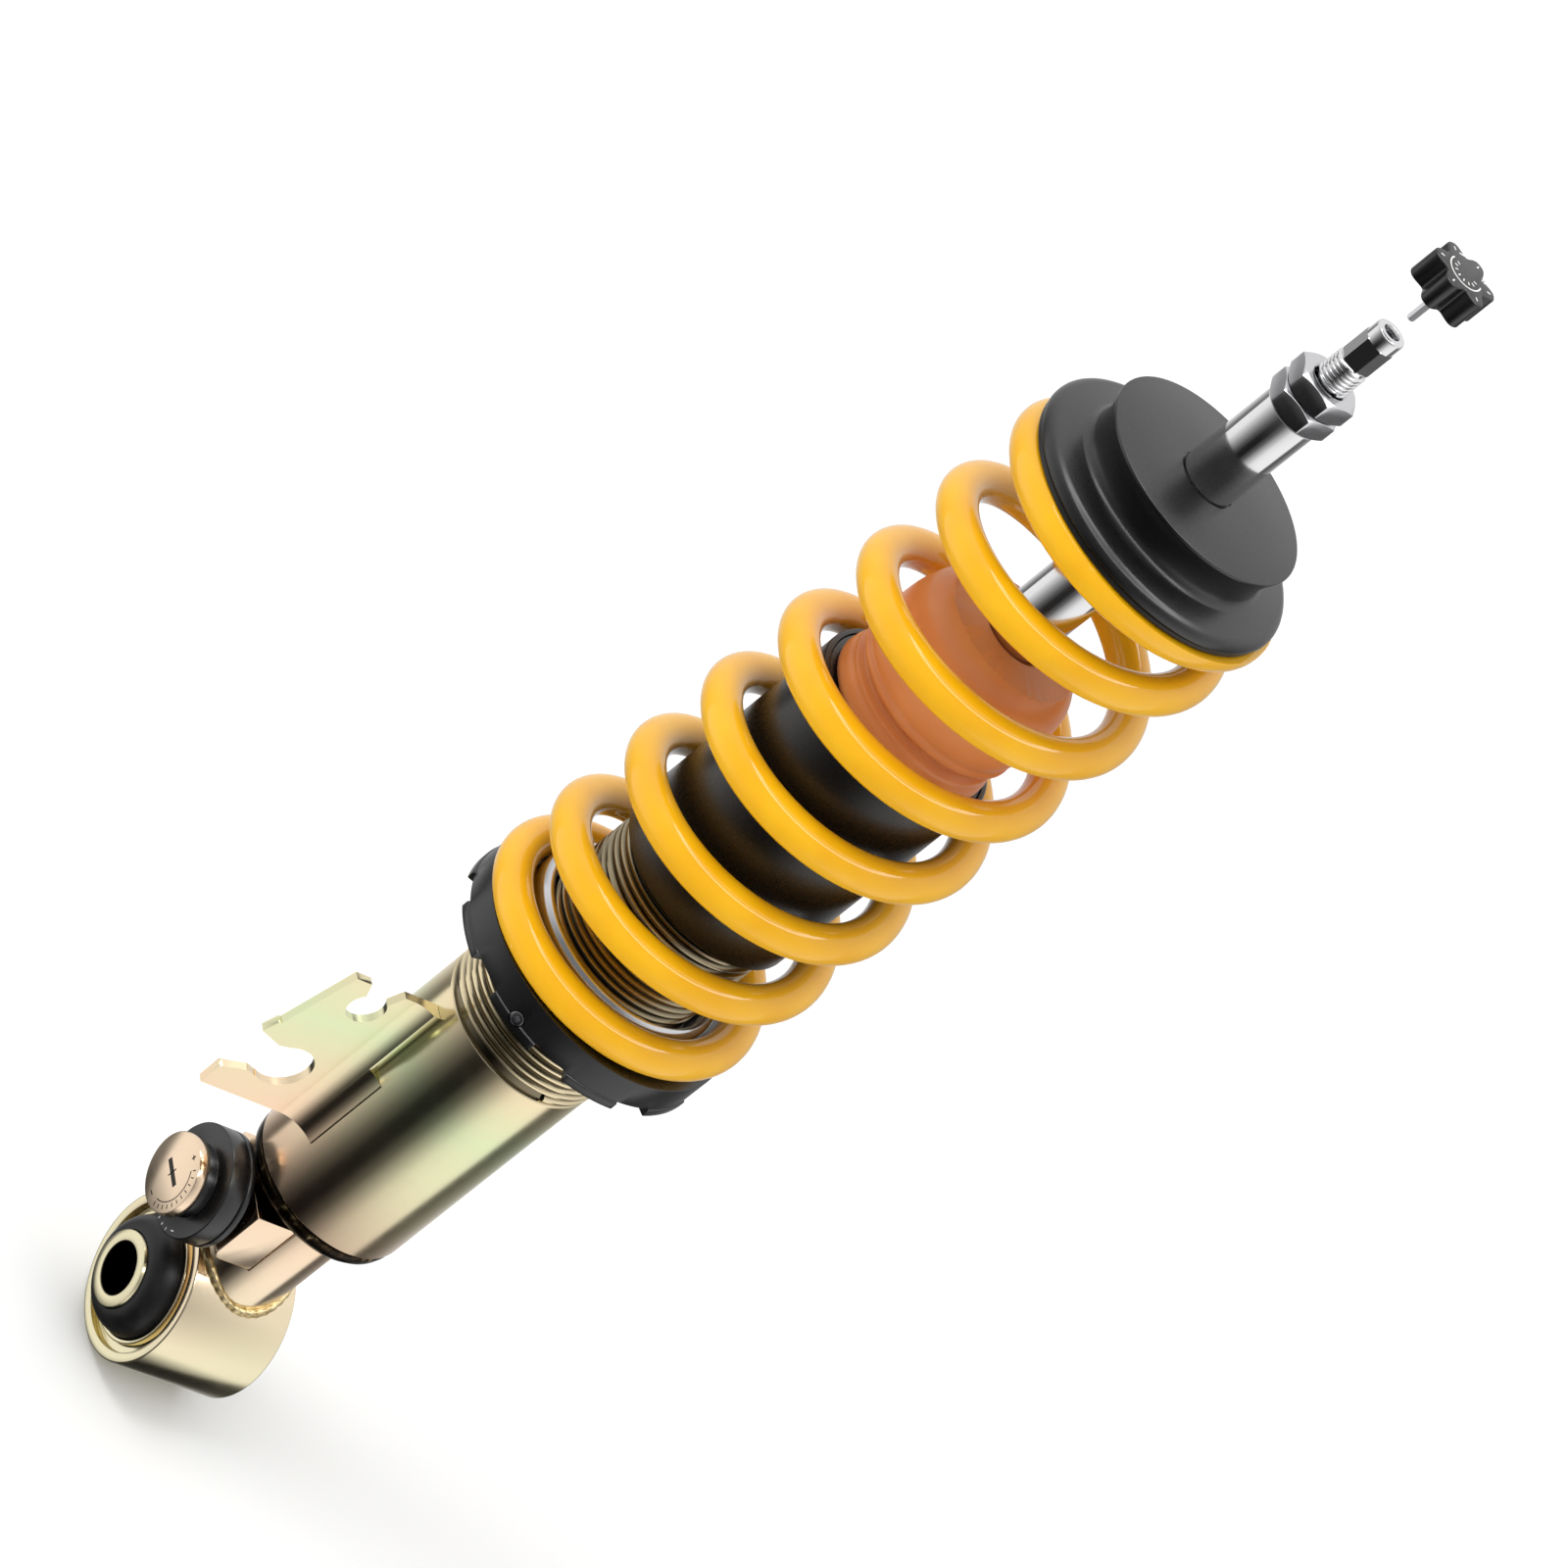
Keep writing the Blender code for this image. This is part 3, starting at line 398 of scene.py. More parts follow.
# black anodised aluminium: a dark satin that still mirrors soft panels
anodised, tree, shader = newFinish("blackAnodisedAluminium", "black_anodised", "#0C0C0D", Roughness=0.28, IOR=1.7)
blast = addNode(tree, "ShaderNodeTexNoise", {"Scale": 500.0, "Detail": 2.0}, {"Vector": objectPoint(tree)})   # 2 mm clouding
addNode(tree, "ShaderNodeMapRange", {"To Min": 0.26, "To Max": 0.30}, {"Value": blast.outputs["Fac"]},
        {"Result": shader.inputs["Roughness"]})
addNode(tree, "ShaderNodeBump", {"Strength": 0.01, "Distance": 0.00005}, {"Height": blast.outputs["Fac"]},
        {"Normal": shader.inputs["Normal"]})

# powder coat: deep yellow under a clear gloss, with a faint orange peel
powder, tree, shader = newFinish("yellowPowderCoat", "yellow_coat", "#EDB000", Roughness=0.5, IOR=1.45)
shader.inputs["Coat Weight"].default_value = 1.0
shader.inputs["Coat Roughness"].default_value = 0.03
shader.inputs["Specular IOR Level"].default_value = 0.25
spot = objectPoint(tree)
flow = addNode(tree, "ShaderNodeTexNoise", {"Scale": 60.0, "Detail": 2.0}, {"Vector": spot})   # 15 mm flow marks
addNode(tree, "ShaderNodeValToRGB", {"stops": [(0.35, "#EBAC00"), (0.65, "#F1B507")]}, {"Fac": flow.outputs["Fac"]},
        {"Color": shader.inputs["Base Color"]})
peel = addNode(tree, "ShaderNodeTexNoise", {"Scale": 520.0, "Detail": 2.0}, {"Vector": spot})   # 2 mm orange peel
addNode(tree, "ShaderNodeBump", {"Strength": 0.04, "Distance": 0.0001}, {"Height": peel.outputs["Fac"]},
        {"Normal": shader.inputs["Normal"]})

# polyurethane foam: a moulded skin, smooth enough to shine, that lets a little light in
foam, tree, shader = newFinish("mouldedPolyurethaneFoam", "orange_foam", "#D98A4E", Roughness=0.34, IOR=1.5)
shader.inputs["Subsurface Weight"].default_value = 0.15
shader.inputs["Subsurface Radius"].default_value = (1.0, 0.5, 0.3)
shader.inputs["Subsurface Scale"].default_value = 0.003
spot = objectPoint(tree)
mottle = addNode(tree, "ShaderNodeTexNoise", {"Scale": 45.0, "Detail": 2.0}, {"Vector": spot})   # 20 mm clouding
addNode(tree, "ShaderNodeValToRGB", {"stops": [(0.35, "#D4854A"), (0.65, "#E09458")]}, {"Fac": mottle.outputs["Fac"]},
        {"Color": shader.inputs["Base Color"]})
cells = addNode(tree, "ShaderNodeTexNoise", {"Scale": 900.0, "Detail": 3.0}, {"Vector": spot})   # 1 mm cells under the skin
addNode(tree, "ShaderNodeBump", {"Strength": 0.04, "Distance": 0.0001}, {"Height": cells.outputs["Fac"]},
        {"Normal": shader.inputs["Normal"]})

# hard chrome: a near-perfect mirror with the grinder's fine rings
chrome, tree, shader = newFinish("hardChrome", "chrome", "#EDEDEE", Metallic=1.0, Roughness=0.09)
rings = addNode(tree, "ShaderNodeTexNoise", {"Scale": 60.0, "Detail": 3.0}, {"Vector": objectPoint(tree, (1, 1, 30))})
addNode(tree, "ShaderNodeMapRange", {"To Min": 0.06, "To Max": 0.14}, {"Value": rings.outputs["Fac"]},
        {"Result": shader.inputs["Roughness"]})

# bright nickel plate on the nuts and small steel: white edges, soft mirror
nickel, tree, shader = newFinish("brightNickelPlate", "chrome", "#DADADD", Metallic=1.0, Roughness=0.15)
wear = addNode(tree, "ShaderNodeTexNoise", {"Scale": 700.0, "Detail": 4.0}, {"Vector": objectPoint(tree)})   # 1.5 mm scuffs
addNode(tree, "ShaderNodeMapRange", {"To Min": 0.11, "To Max": 0.22}, {"Value": wear.outputs["Fac"]},
        {"Result": shader.inputs["Roughness"]})
addNode(tree, "ShaderNodeBump", {"Strength": 0.03, "Distance": 0.00005}, {"Height": wear.outputs["Fac"]},
        {"Normal": shader.inputs["Normal"]})

# turned steel: grey, with visible tool rings
turnedSteel, tree, shader = newFinish("turnedSteel", "steel", "#A6A7AA", Metallic=1.0, Roughness=0.26)
cuts = addNode(tree, "ShaderNodeTexWave", {"wave_type": "RINGS", "rings_direction": "Z", "Scale": 320.0, "Distortion": 1.5},
               {"Vector": objectPoint(tree)})   # 1 mm tool rings
addNode(tree, "ShaderNodeMapRange", {"To Min": 0.2, "To Max": 0.32}, {"Value": cuts.outputs["Fac"]},
        {"Result": shader.inputs["Roughness"]})

# moulded rubber: dull black that blooms a little to grey
rubber, tree, shader = newFinish("mouldedRubber", "rubber", "#121214", Roughness=0.4, IOR=1.52)
bloom = addNode(tree, "ShaderNodeTexNoise", {"Scale": 300.0, "Detail": 4.0}, {"Vector": objectPoint(tree)})   # 3 mm bloom
addNode(tree, "ShaderNodeValToRGB", {"stops": [(0.35, "#0E0E10"), (0.7, "#19191B")]}, {"Fac": bloom.outputs["Fac"]},
        {"Color": shader.inputs["Base Color"]})
addNode(tree, "ShaderNodeMapRange", {"To Min": 0.34, "To Max": 0.46}, {"Value": bloom.outputs["Fac"]},
        {"Result": shader.inputs["Roughness"]})
addNode(tree, "ShaderNodeBump", {"Strength": 0.05, "Distance": 0.0001}, {"Height": bloom.outputs["Fac"]},
        {"Normal": shader.inputs["Normal"]})

# moulded polypropylene: the dust sleeve's satin black
satinPlastic, tree, shader = newFinish("satinPolypropylene", "black_plastic", "#100F0F", Roughness=0.28, IOR=1.6)
pores = addNode(tree, "ShaderNodeTexNoise", {"Scale": 1200.0, "Detail": 2.0}, {"Vector": objectPoint(tree)})   # 0.8 mm mould texture
addNode(tree, "ShaderNodeMapRange", {"To Min": 0.24, "To Max": 0.33}, {"Value": pores.outputs["Fac"]},
        {"Result": shader.inputs["Roughness"]})
addNode(tree, "ShaderNodeBump", {"Strength": 0.03, "Distance": 0.00005}, {"Height": pores.outputs["Fac"]},
        {"Normal": shader.inputs["Normal"]})

# printing on the dials: matt white on black, dark laser marks on the gold cap; both speckle at the edge of the film
whiteInk, tree, shader = newFinish("whiteScreenInk", "black_anodised", "#E9E9E6", Roughness=0.6)
speckle = addNode(tree, "ShaderNodeTexNoise", {"Scale": 2500.0, "Detail": 2.0}, {"Vector": objectPoint(tree)})   # 0.4 mm speckle
addNode(tree, "ShaderNodeValToRGB", {"stops": [(0.3, "#C9C9C6"), (0.5, "#F2F2EF")]}, {"Fac": speckle.outputs["Fac"]},
        {"Color": shader.inputs["Base Color"]})
laserMark, tree, shader = newFinish("laserMark", "yellow_zinc", "#15110C", Roughness=0.45)
speckle = addNode(tree, "ShaderNodeTexNoise", {"Scale": 2500.0, "Detail": 2.0}, {"Vector": objectPoint(tree)})
addNode(tree, "ShaderNodeValToRGB", {"stops": [(0.35, "#0C0A08"), (0.7, "#2A2218")]}, {"Fac": speckle.outputs["Fac"]},
        {"Color": shader.inputs["Base Color"]})
print("coilover: finishes")


# ---- lower eye and its bush ----

eye = {"radius": 24.2, "mouth": 21.2, "bore": 19.1, "halfWidth": 17.0, "mouthDepth": 2.5}


def buildEye():
    low = eye["halfWidth"]
    step = low - eye["mouthDepth"]
    profile = [(eye["bore"], -step, 0), (eye["mouth"], -step, 0.3), (eye["mouth"], -low, 0.25), (eye["radius"], -low, 0.5),
               (eye["radius"], low, 0.5), (eye["mouth"], low, 0.25), (eye["mouth"], step, 0.3), (eye["bore"], step, 0)]
    makePiece("eyeRing", place(turnProfile(profile, 160), toEye), zincYellow, "damper_body", "eye_ring")
    sleeve = [(17.6, -16.6, 0.2), (18.8, -16.6, 0.4), (18.8, 16.6, 0.4), (17.6, 16.6, 0.2)]
    makePiece("bushOuterSleeve", place(turnProfile(sleeve, 160), toEye), zincYellow, "damper_body", "bush_outer_sleeve")


bush = {"coreRadius": 10.9, "coreBore": 7.4, "coreHalf": 24.8, "domeRadius": 17.3}


def buildBush():
    # the rubber swells out of the sleeve as a quarter round, with a small lip at the core
    arc = [(11.25 + 6.05 * math.cos(math.radians(a)), 15.6 + 8.1 * math.sin(math.radians(a))) for a in range(0, 86, 8)]
    half = [(17.3, 14.0)] + arc + [(11.2, 23.75)]
    profile = [(r, h, 0) for r, h in half] + [(r, -h, 0) for r, h in reversed(half)]
    makePiece("bushRubber", place(turnProfile(profile, 128), toEye), rubber, "damper_body", "bush_rubber", sharp=50)
    end = bush["coreHalf"]
    core = [(bush["coreBore"], -end, 0.5), (bush["coreRadius"], -end, 0.3), (bush["coreRadius"], end, 0.3),
            (bush["coreBore"], end, 0.5)]
    makePiece("bushInnerSleeve", place(turnProfile(core, 96), toEye), boredZinc, "bush_core", "bush_inner_sleeve")


# ---- neck, valve housing and welds ----

neck = {"radius": 16.1, "top": 54.2, "flat": 7.3, "flatBottom": 30.9, "beadSize": 1.25, "ripples": 40}


def saddle(x, radius):
    # height of the eye's outside above a point x across it
    return math.sqrt(max(radius ** 2 - x ** 2, 0))


def buildNeck():
    bm = rod(neck["radius"], 23, neck["top"], 144)
    for vert in bm.verts:
        if vert.co.z < 24 * mm:
            vert.co.z = saddle(vert.co.x / mm, eye["radius"] - 0.8) * mm
    flat = bmesh.new()
    bmesh.ops.create_cube(flat, size=1, matrix=Matrix.Translation((0, -(neck["flat"] + 15) * mm, (neck["flatBottom"] + 20) * mm))
                          @ Matrix.Diagonal((60 * mm, 30 * mm, 40 * mm, 1)))
    bm = carve(bm, flat)
    roundEdges(bm, 0.4, 2, 50, lambda edge: edge.verts[0].co.z > 50 * mm)
    makePiece("valveNeck", bm, zincYellow, "damper_body", "valve_neck")

    # the weld follows the saddle where neck meets eye, and swells at each drop
    path = bpy.data.curves.new("weldPath", "CURVE")
    path.dimensions = "3D"
    path.bevel_depth = neck["beadSize"] * mm
    path.bevel_resolution = 4
    count = 368
    spline = path.splines.new("POLY")
    spline.points.add(count - 1)
    spline.use_cyclic_u = True
    for i, point in enumerate(spline.points):
        angle = 2 * math.pi * i / count
        wave = math.sin(angle * neck["ripples"] + 2 * math.sin(3 * angle))
        radius = neck["radius"] + 0.2 + 0.05 * wave + 0.25 * math.sin(3 * angle + 1)
        x, y = radius * math.cos(angle), radius * math.sin(angle)
        point.co = (x * mm, y * mm, (saddle(x, eye["radius"]) + 0.1 + 0.1 * math.sin(5 * angle)) * mm, 1)
        point.radius = 1 + 0.05 * wave + 0.15 * math.sin(5 * angle)
    helper = bpy.data.objects.new("weldPath", path)
    scene.collection.objects.link(helper)
    bpy.context.view_layer.update()
    mesh = bpy.data.meshes.new_from_object(helper.evaluated_get(bpy.context.evaluated_depsgraph_get()))
    bpy.data.curves.remove(path)
    bm = bmesh.new()
    bm.from_mesh(mesh)
    bpy.data.meshes.remove(mesh)
    makePiece("eyeWeld", bm, platedWeld, "damper_body", sharp=60)


housing = {"halfWidth": 14.3, "front": 20.6, "back": 7.6, "bottom": 31.2, "top": 50.8, "spigot": 5.6, "spigotFace": 22.2}


def buildHousing():
    # a milled block with sharp faces, a rounded chin and a spigot that carries the dials
    side, front, back = housing["halfWidth"], housing["front"], housing["back"]
    low, high = housing["bottom"], housing["top"]
    bm = bmesh.new()
    bmesh.ops.create_cube(bm, size=1, matrix=Matrix.Translation((0, -(front + back) / 2 * mm, (low + high) / 2 * mm))
                          @ Matrix.Diagonal((2 * side * mm, (front - back) * mm, (high - low) * mm, 1)))
    roundEdges(bm, 2.6, 6, 40, lambda edge: all(v.co.z < (low + 0.1) * mm and v.co.y < -(front - 0.1) * mm for v in edge.verts))
    roundEdges(bm, 0.35, 3, 40)
    spigot = place(rod(housing["spigot"], front - 1, housing["spigotFace"], 64), toDial)
    makePiece("adjusterHousing", joinMeshes(bm, spigot), zincYellow, "damper_body", "adjuster_housing")


# ---- compression dials ----

dials = {"highRadius": 16.2, "highBack": 24.4, "highFace": 32.5, "lowRadius": 11.4, "lowBack": 36.3, "lowFace": 39.8}


def tick(radius, angle, width, length, face, height=0.05):
    # a thin raised bar on a face, pointing at the axis
    bm = bmesh.new()
    bmesh.ops.create_cube(bm, size=1, matrix=Matrix.Rotation(math.radians(angle), 4, "Z")
                          @ Matrix.Translation((radius * mm, 0, face * mm))
                          @ Matrix.Diagonal((length * mm, width * mm, height * 2 * mm, 1)))
    return bm


def arcMark(radius, first, last, width, face, height=0.05):
    # a thin raised arc on a face
    outline = [(radius - width / 2, -height), (radius + width / 2, -height), (radius + width / 2, height), (radius - width / 2, height)]
    bm = bmesh.new()
    section = bm.faces.new([bm.verts.new((r * mm, 0, (face + z) * mm)) for r, z in outline])
    bmesh.ops.spin(bm, geom=[section] + list(section.verts) + list(section.edges), cent=(0, 0, 0), axis=(0, 0, 1),
                   angle=math.radians(last - first), steps=max(4, int((last - first) / 5)))
    return place(bm, Matrix.Rotation(math.radians(first), 4, "Z"))


def sign(radius, angle, size, width, face, plus):
    # a minus or a plus, set square to the radius
    bars = [tick(radius, angle, size, width, face)]
    if plus:
        bars.append(tick(radius, angle, width, size, face))
    return joinMeshes(*bars)


def buildDials():
    back, front, radius = dials["highBack"], dials["highFace"], dials["highRadius"]
    split = back + 1.8
    profile = [(5.0, 22.6, 0), (13.0, 22.6, 0.3), (13.0, back, 0.2), (radius, back, 0.4), (radius, split, 0.12),
               (radius - 0.5, split + 0.25, 0), (radius - 0.5, split + 0.45, 0), (radius, split + 0.7, 0.12),
               (radius, front, 0.45), (10.2, front, 0.3), (10.2, dials["lowBack"] - 0.3, 0.2),
               (5.0, dials["lowBack"] - 0.3, 0)]
    bm = place(turnProfile(profile, 128), toDial)
    makePiece("highSpeedDial", bm, anodised, "high_dial", "high_speed_dial")
    marks = [tick(15.0, a, 0.22, 0.8, front) for a in range(-120, -59, 10)]
    marks += [sign(14.4, -132, 1.2, 0.3, front, True), sign(14.4, -48, 1.2, 0.3, front, False)]
    makePiece("highSpeedMarks", place(joinMeshes(*marks), toDial), whiteInk, "high_dial")

    radius, face = dials["lowRadius"], dials["lowFace"]
    profile = [(0, dials["lowBack"], 0), (radius, dials["lowBack"], 0.2), (radius, face, 0.3), (0, face, 0)]
    bm = place(turnProfile(profile, 128, closed=False), toDial)
    makePiece("lowSpeedDial", bm, zincYellow, "low_dial", "low_speed_dial")
    marks = [tick(9.6, a, 0.3, 1.2, face) for a in range(-60, 61, 12)]
    marks += [arcMark(8.2, -60, 60, 0.3, face), sign(8.9, -84, 1.6, 0.35, face, False), sign(8.9, 84, 1.6, 0.35, face, True)]
    marks += [tick(0, 0, 1.5, 9.0, face), tick(0, 90, 0.35, 3.4, face)]
    makePiece("lowSpeedMarks", place(joinMeshes(*marks), toDial), laserMark, "low_dial")


# ---- damper tube, thread and bracket ----

tube = {"radius": 24.9, "bottom": 60.0, "shoulder": 137.2, "threadMajor": 25.05, "threadMinor": 23.9, "pitch": 2.5,
        "threadTurns": 51, "top": 270.0}


def buildTube():
    core = tube["threadMinor"]
    profile = [(22.0, tube["bottom"] + 0.3, 0), (tube["radius"], tube["bottom"] + 0.3, 0.7), (tube["radius"], tube["shoulder"], 0.35),
               (core, tube["shoulder"] + 0.6, 0), (core, tube["top"], 0.3), (22.0, tube["top"], 0)]
    thread = screwThread(core, tube["threadMajor"], tube["pitch"], tube["shoulder"] + 0.4, tube["threadTurns"], 96)
    makePiece("damperTube", joinMeshes(turnProfile(profile, 160), thread), zincThread, "damper_body", "damper_tube")
    # the closed end: a rolled edge that the neck is welded into
    profile = [(0, 54.5, 0), (21.4, 54.5, 0), (22.9, 55.0, 0), (24.0, 56.4, 0), (24.5, 58.2, 0), (24.5, 59.9, 0.2), (21.9, 59.9, 0),
               (21.9, 65.0, 0), (0, 65.0, 0)]
    makePiece("tubeBase", turnProfile(profile, 160, closed=False), shadedTubeEnd, "damper_body", "tube_base", sharp=40)


bracket = {"half": 1.2, "bend": 10.0, "tubeFace": 25.0, "bottom": 77.0, "step": 105.5, "top": 131.5, "cut": 3.4}


def buildBracket():
    # a pressed sheet: its face runs out from the tube, and its foot fades into the tube in one wide bend
    half, bend, face = bracket["half"], bracket["bend"], bracket["tubeFace"]
    middle = Vector((half + bend, -math.sqrt((face + bend) ** 2 - (half + bend) ** 2)))
    foot = math.atan2(middle.y, middle.x)
    sweep = -foot
    outer = [(half, -60.0)] + [(middle.x - bend * math.cos(a), middle.y + bend * math.sin(a))
                               for a in (sweep * i / 18 for i in range(19))]
    inner = [(face * math.cos(a), face * math.sin(a)) for a in (foot + (math.radians(-93) - foot) * i / 10 for i in range(1, 10))]
    inner += [(-half, -face - 0.05), (-half, -60.0)]
    bm = prism(outer + inner, bracket["bottom"], bracket["top"])

    # the side view cuts the sheet: slots, sloping edges and the step in the foot
    stand = Matrix(((0, 0, 1, 0), (1, 0, 0, 0), (0, 1, 0, 0), (0, 0, 0, 1)))
    slots = [rod(7.9, -3, 3, 64), rod(5.4, -3, 3, 64)]
    place(slots[0], stand @ Matrix.Translation((-45.0 * mm, 93.1 * mm, 0)))
    place(slots[1], stand @ Matrix.Translation((-42.3 * mm, 122.8 * mm, 0)))
    cuts = [
        [(-52.6, 87.2), (-52.6, 99.2), (-49, 100.0), (-49, 86.0)],
        [(-52.4, 86.9), (-59.1, 85.1), (-63, 84.0), (-63, 103.0), (-59.8, 102.0), (-52.0, 99.3)],
        [(-59.8, 102.0), (-58.4, 107.0), (-57.7, 107.0), (-52.7, 131.5), (-52.7, 134), (-66, 134), (-66, 102.0)],
        [(-47.8, 133), (-47.8, 131.6), (-45.8, 126.9), (-45.0, 124.0), (-39.6, 124.0), (-38.2, 127.1), (-36.3, 131.3), (-36.3, 133)],
    ]
    for slot in slots:
        bm = carve(bm, slot)
    for outline in cuts:
        bm = carve(bm, place(prism(outline, -3, 3), stand))
    cut = bracket["cut"]
    relief = prism([(cut, -34), (12, -34), (12, -20), (cut, -20)], bracket["step"], 140)
    bm = carve(bm, relief)
    roundEdges(bm, 0.14, 2, 25)
    makePiece("hoseBracket", bm, zincYellow, "damper_body", "hose_bracket", sharp=20)


buildEye()
buildBush()
buildNeck()
buildHousing()
buildDials()
buildTube()
buildBracket()
print("coilover: eye, neck, dials, tube and bracket")


# ---- adjusting collar, centring ring and spring ----

collar = {"bore": 25.3, "tooth": 41.0, "radius": 40.5, "bottom": 160.0, "roof": 162.6, "top": 171.3,
          "notches": 9, "notchAngle": 16, "firstNotch": -70, "screwAngle": -49.4, "screwHeight": 163.1}


def buildCollar():
    bore, tooth, radius = collar["bore"], collar["tooth"], collar["radius"]
    low, roof, top = collar["bottom"], collar["roof"], collar["top"]
    toothSection = [(bore, low), (tooth, low), (tooth, roof - 0.3), (radius, roof), (radius, top), (bore, top), (bore, roof)]
    roofSection = [(bore, roof), (radius, roof), (radius, top), (bore, top)]
    bm = bmesh.new()
    pitch, notch = 360 / collar["notches"], collar["notchAngle"]
    for i in range(collar["notches"]):
        start = collar["firstNotch"] - notch / 2 + pitch * i
        for section, first, sweep in ((roofSection, start, notch), (toothSection, start + notch, pitch - notch)):
            turnTo = Matrix.Rotation(math.radians(first), 3, "Z")
            points = [bm.verts.new(turnTo @ Vector((r * mm, 0, z * mm))) for r, z in section]
            edges = [bm.edges.new((points[k], points[(k + 1) % len(points)])) for k in range(len(points))]
            bmesh.ops.spin(bm, geom=points + edges, cent=(0, 0, 0), axis=(0, 0, 1), angle=math.radians(sweep),
                           steps=int(sweep / 2))
    bmesh.ops.remove_doubles(bm, verts=bm.verts, dist=1e-6)
    bmesh.ops.holes_fill(bm, edges=[edge for edge in bm.edges if edge.is_boundary], sides=0)
    bmesh.ops.recalc_face_normals(bm, faces=bm.faces)
    roundEdges(bm, 0.35, 2, 40, lambda edge: min(v.co.z for v in edge.verts) > (top - 0.1) * mm)
    roundEdges(bm, 0.18, 2, 40, lambda edge: max(v.co.z for v in edge.verts) < (roof + 0.1) * mm)
    screwTurn = outward(collar["screwAngle"], collar["screwHeight"])
    bm = carve(bm, place(rod(2.25, 30, 44, 48), screwTurn))
    makePiece("adjustingCollar", bm, anodised, "collar", "adjusting_collar")
    grub = [(0, 33.0, 0), (2.05, 33.0, 0), (2.05, 40.6, 0.3), (0, 40.6, 0)]
    screw = carve(turnProfile(grub, 48, closed=False), rod(1.15, 37.6, 42, 6))
    makePiece("collarGrubScrew", place(screw, screwTurn), nickel, "collar", "collar_grub_screw")


def buildCentringRing():
    low = collar["top"] + 0.3
    profile = [(26.2, low, 0), (30.2, low, 0), (30.2, low + 8.6, 2.2), (28.2, low + 9.5, 0.9), (27.0, low + 8.6, 0.6), (26.2, low + 7.0, 0.3)]
    makePiece("centringRing", turnProfile(profile, 144), nickel, "spring_perch", "centring_ring", sharp=50)


spring = {"wire": 5.4, "mean": 36.1, "pitch": 28.7, "turns": 7.9, "startAngle": 135, "bottom": 171.6, "top": 371.6,
          "steps": 96, "sides": 28}


def wireHeight(turn):
    # the first and last turn close up to the seats
    low, high, pitch = spring["bottom"] + 1.0, spring["top"] - 1.0, spring["pitch"]
    if turn < 1:
        return low + pitch / 2 * turn ** 2
    if turn > spring["turns"] - 1:
        return high - pitch / 2 * (spring["turns"] - turn) ** 2
    return low + pitch * (turn - 0.5)


def buildSpring():
    # the wire's circle is spun a step at a time, and each turn is its own mesh until they are joined
    bm = bmesh.new()
    count = int(spring["turns"] * spring["steps"])
    for first in range(0, count, spring["steps"]):
        start = spring["turns"] * first / count
        stand = Matrix.Rotation(math.radians(spring["startAngle"] + 360 * start), 4, "Z") \
            @ Matrix.Translation((spring["mean"] * mm, 0, wireHeight(start) * mm)) @ Matrix.Rotation(math.radians(90), 4, "X")
        coil = bmesh.new()
        bmesh.ops.create_circle(coil, segments=spring["sides"], radius=spring["wire"] * mm, matrix=stand)
        section = coil.edges[:] + coil.verts[:]
        for i in range(first, min(first + spring["steps"], count)):
            low, high = (spring["turns"] * k / count for k in (i, i + 1))
            section = bmesh.ops.spin(coil, geom=section, cent=(0, 0, 0), axis=(0, 0, 1), steps=1,
                                     dvec=(0, 0, (wireHeight(high) - wireHeight(low)) * mm),
                                     angle=2 * math.pi * spring["turns"] / count)["geom_last"]
        joinMeshes(bm, coil)
    bmesh.ops.remove_doubles(bm, verts=bm.verts, dist=1e-6)
    bmesh.ops.holes_fill(bm, edges=[edge for edge in bm.edges if edge.is_boundary], sides=0)
    bmesh.ops.recalc_face_normals(bm, faces=bm.faces)
    # the ends are ground flat on their seats
    for height, normal in ((spring["bottom"], (0, 0, -1)), (spring["top"], (0, 0, 1))):
        geometry = bm.verts[:] + bm.edges[:] + bm.faces[:]
        bmesh.ops.bisect_plane(bm, geom=geometry, plane_co=(0, 0, height * mm), plane_no=normal, clear_outer=True)
        bmesh.ops.holes_fill(bm, edges=[edge for edge in bm.edges if edge.is_boundary], sides=0)
    piece = makePiece("mainSpring", bm, powder, "spring_perch", "main_spring", sharp=50)
    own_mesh(piece)


# ---- dust sleeve and bump stop ----

def buildSleeve():
    profile = [(26.3, 209.2, 0), (27.8, 209.2, 0.5), (27.8, 283.0, 0.5), (26.3, 283.0, 0)]
    makePiece("dustSleeve", turnProfile(profile, 144), satinPlastic, "damper_body", "dust_sleeve")
    profile = [(8.9, 280.0, 0), (26.0, 280.0, 0), (26.0, 282.8, 0.2), (8.9, 282.8, 0.2)]
    makePiece("sleeveCap", turnProfile(profile, 144), satinPlastic, "damper_body", "sleeve_cap")


bump = {"foot": 283.3}


def buildBumpStop():
    foot = bump["foot"]
    profile = [(8.9, 0.0, 0), (24.2, 0.0, 0.6), (25.0, 1.5, 0.8), (24.6, 4.6, 0.5), (23.9, 6.0, 0.4), (24.0, 7.2, 0.4), (22.2, 8.4, 0.5),
               (22.2, 9.4, 0.5), (24.9, 11.0, 0.8), (25.3, 12.4, 0.8), (24.6, 13.6, 0.5), (25.2, 15.0, 1.0), (25.7, 20.0, 3.0),
               (25.4, 29.0, 4.0), (23.0, 36.5, 4.0), (20.0, 38.6, 2.0), (10.2, 39.6, 0.8), (8.9, 38.6, 0.4)]
    profile = [(r, foot + h, rounding) for r, h, rounding in profile]
    makePiece("bumpStop", turnProfile(profile, 144), foam, "damper_body", "bump_stop", sharp=60)


buildCollar()
buildCentringRing()
buildSpring()
buildSleeve()
buildBumpStop()
print("coilover: collar, spring, sleeve and bump stop")


# ---- upper seat, rod and rod end ----

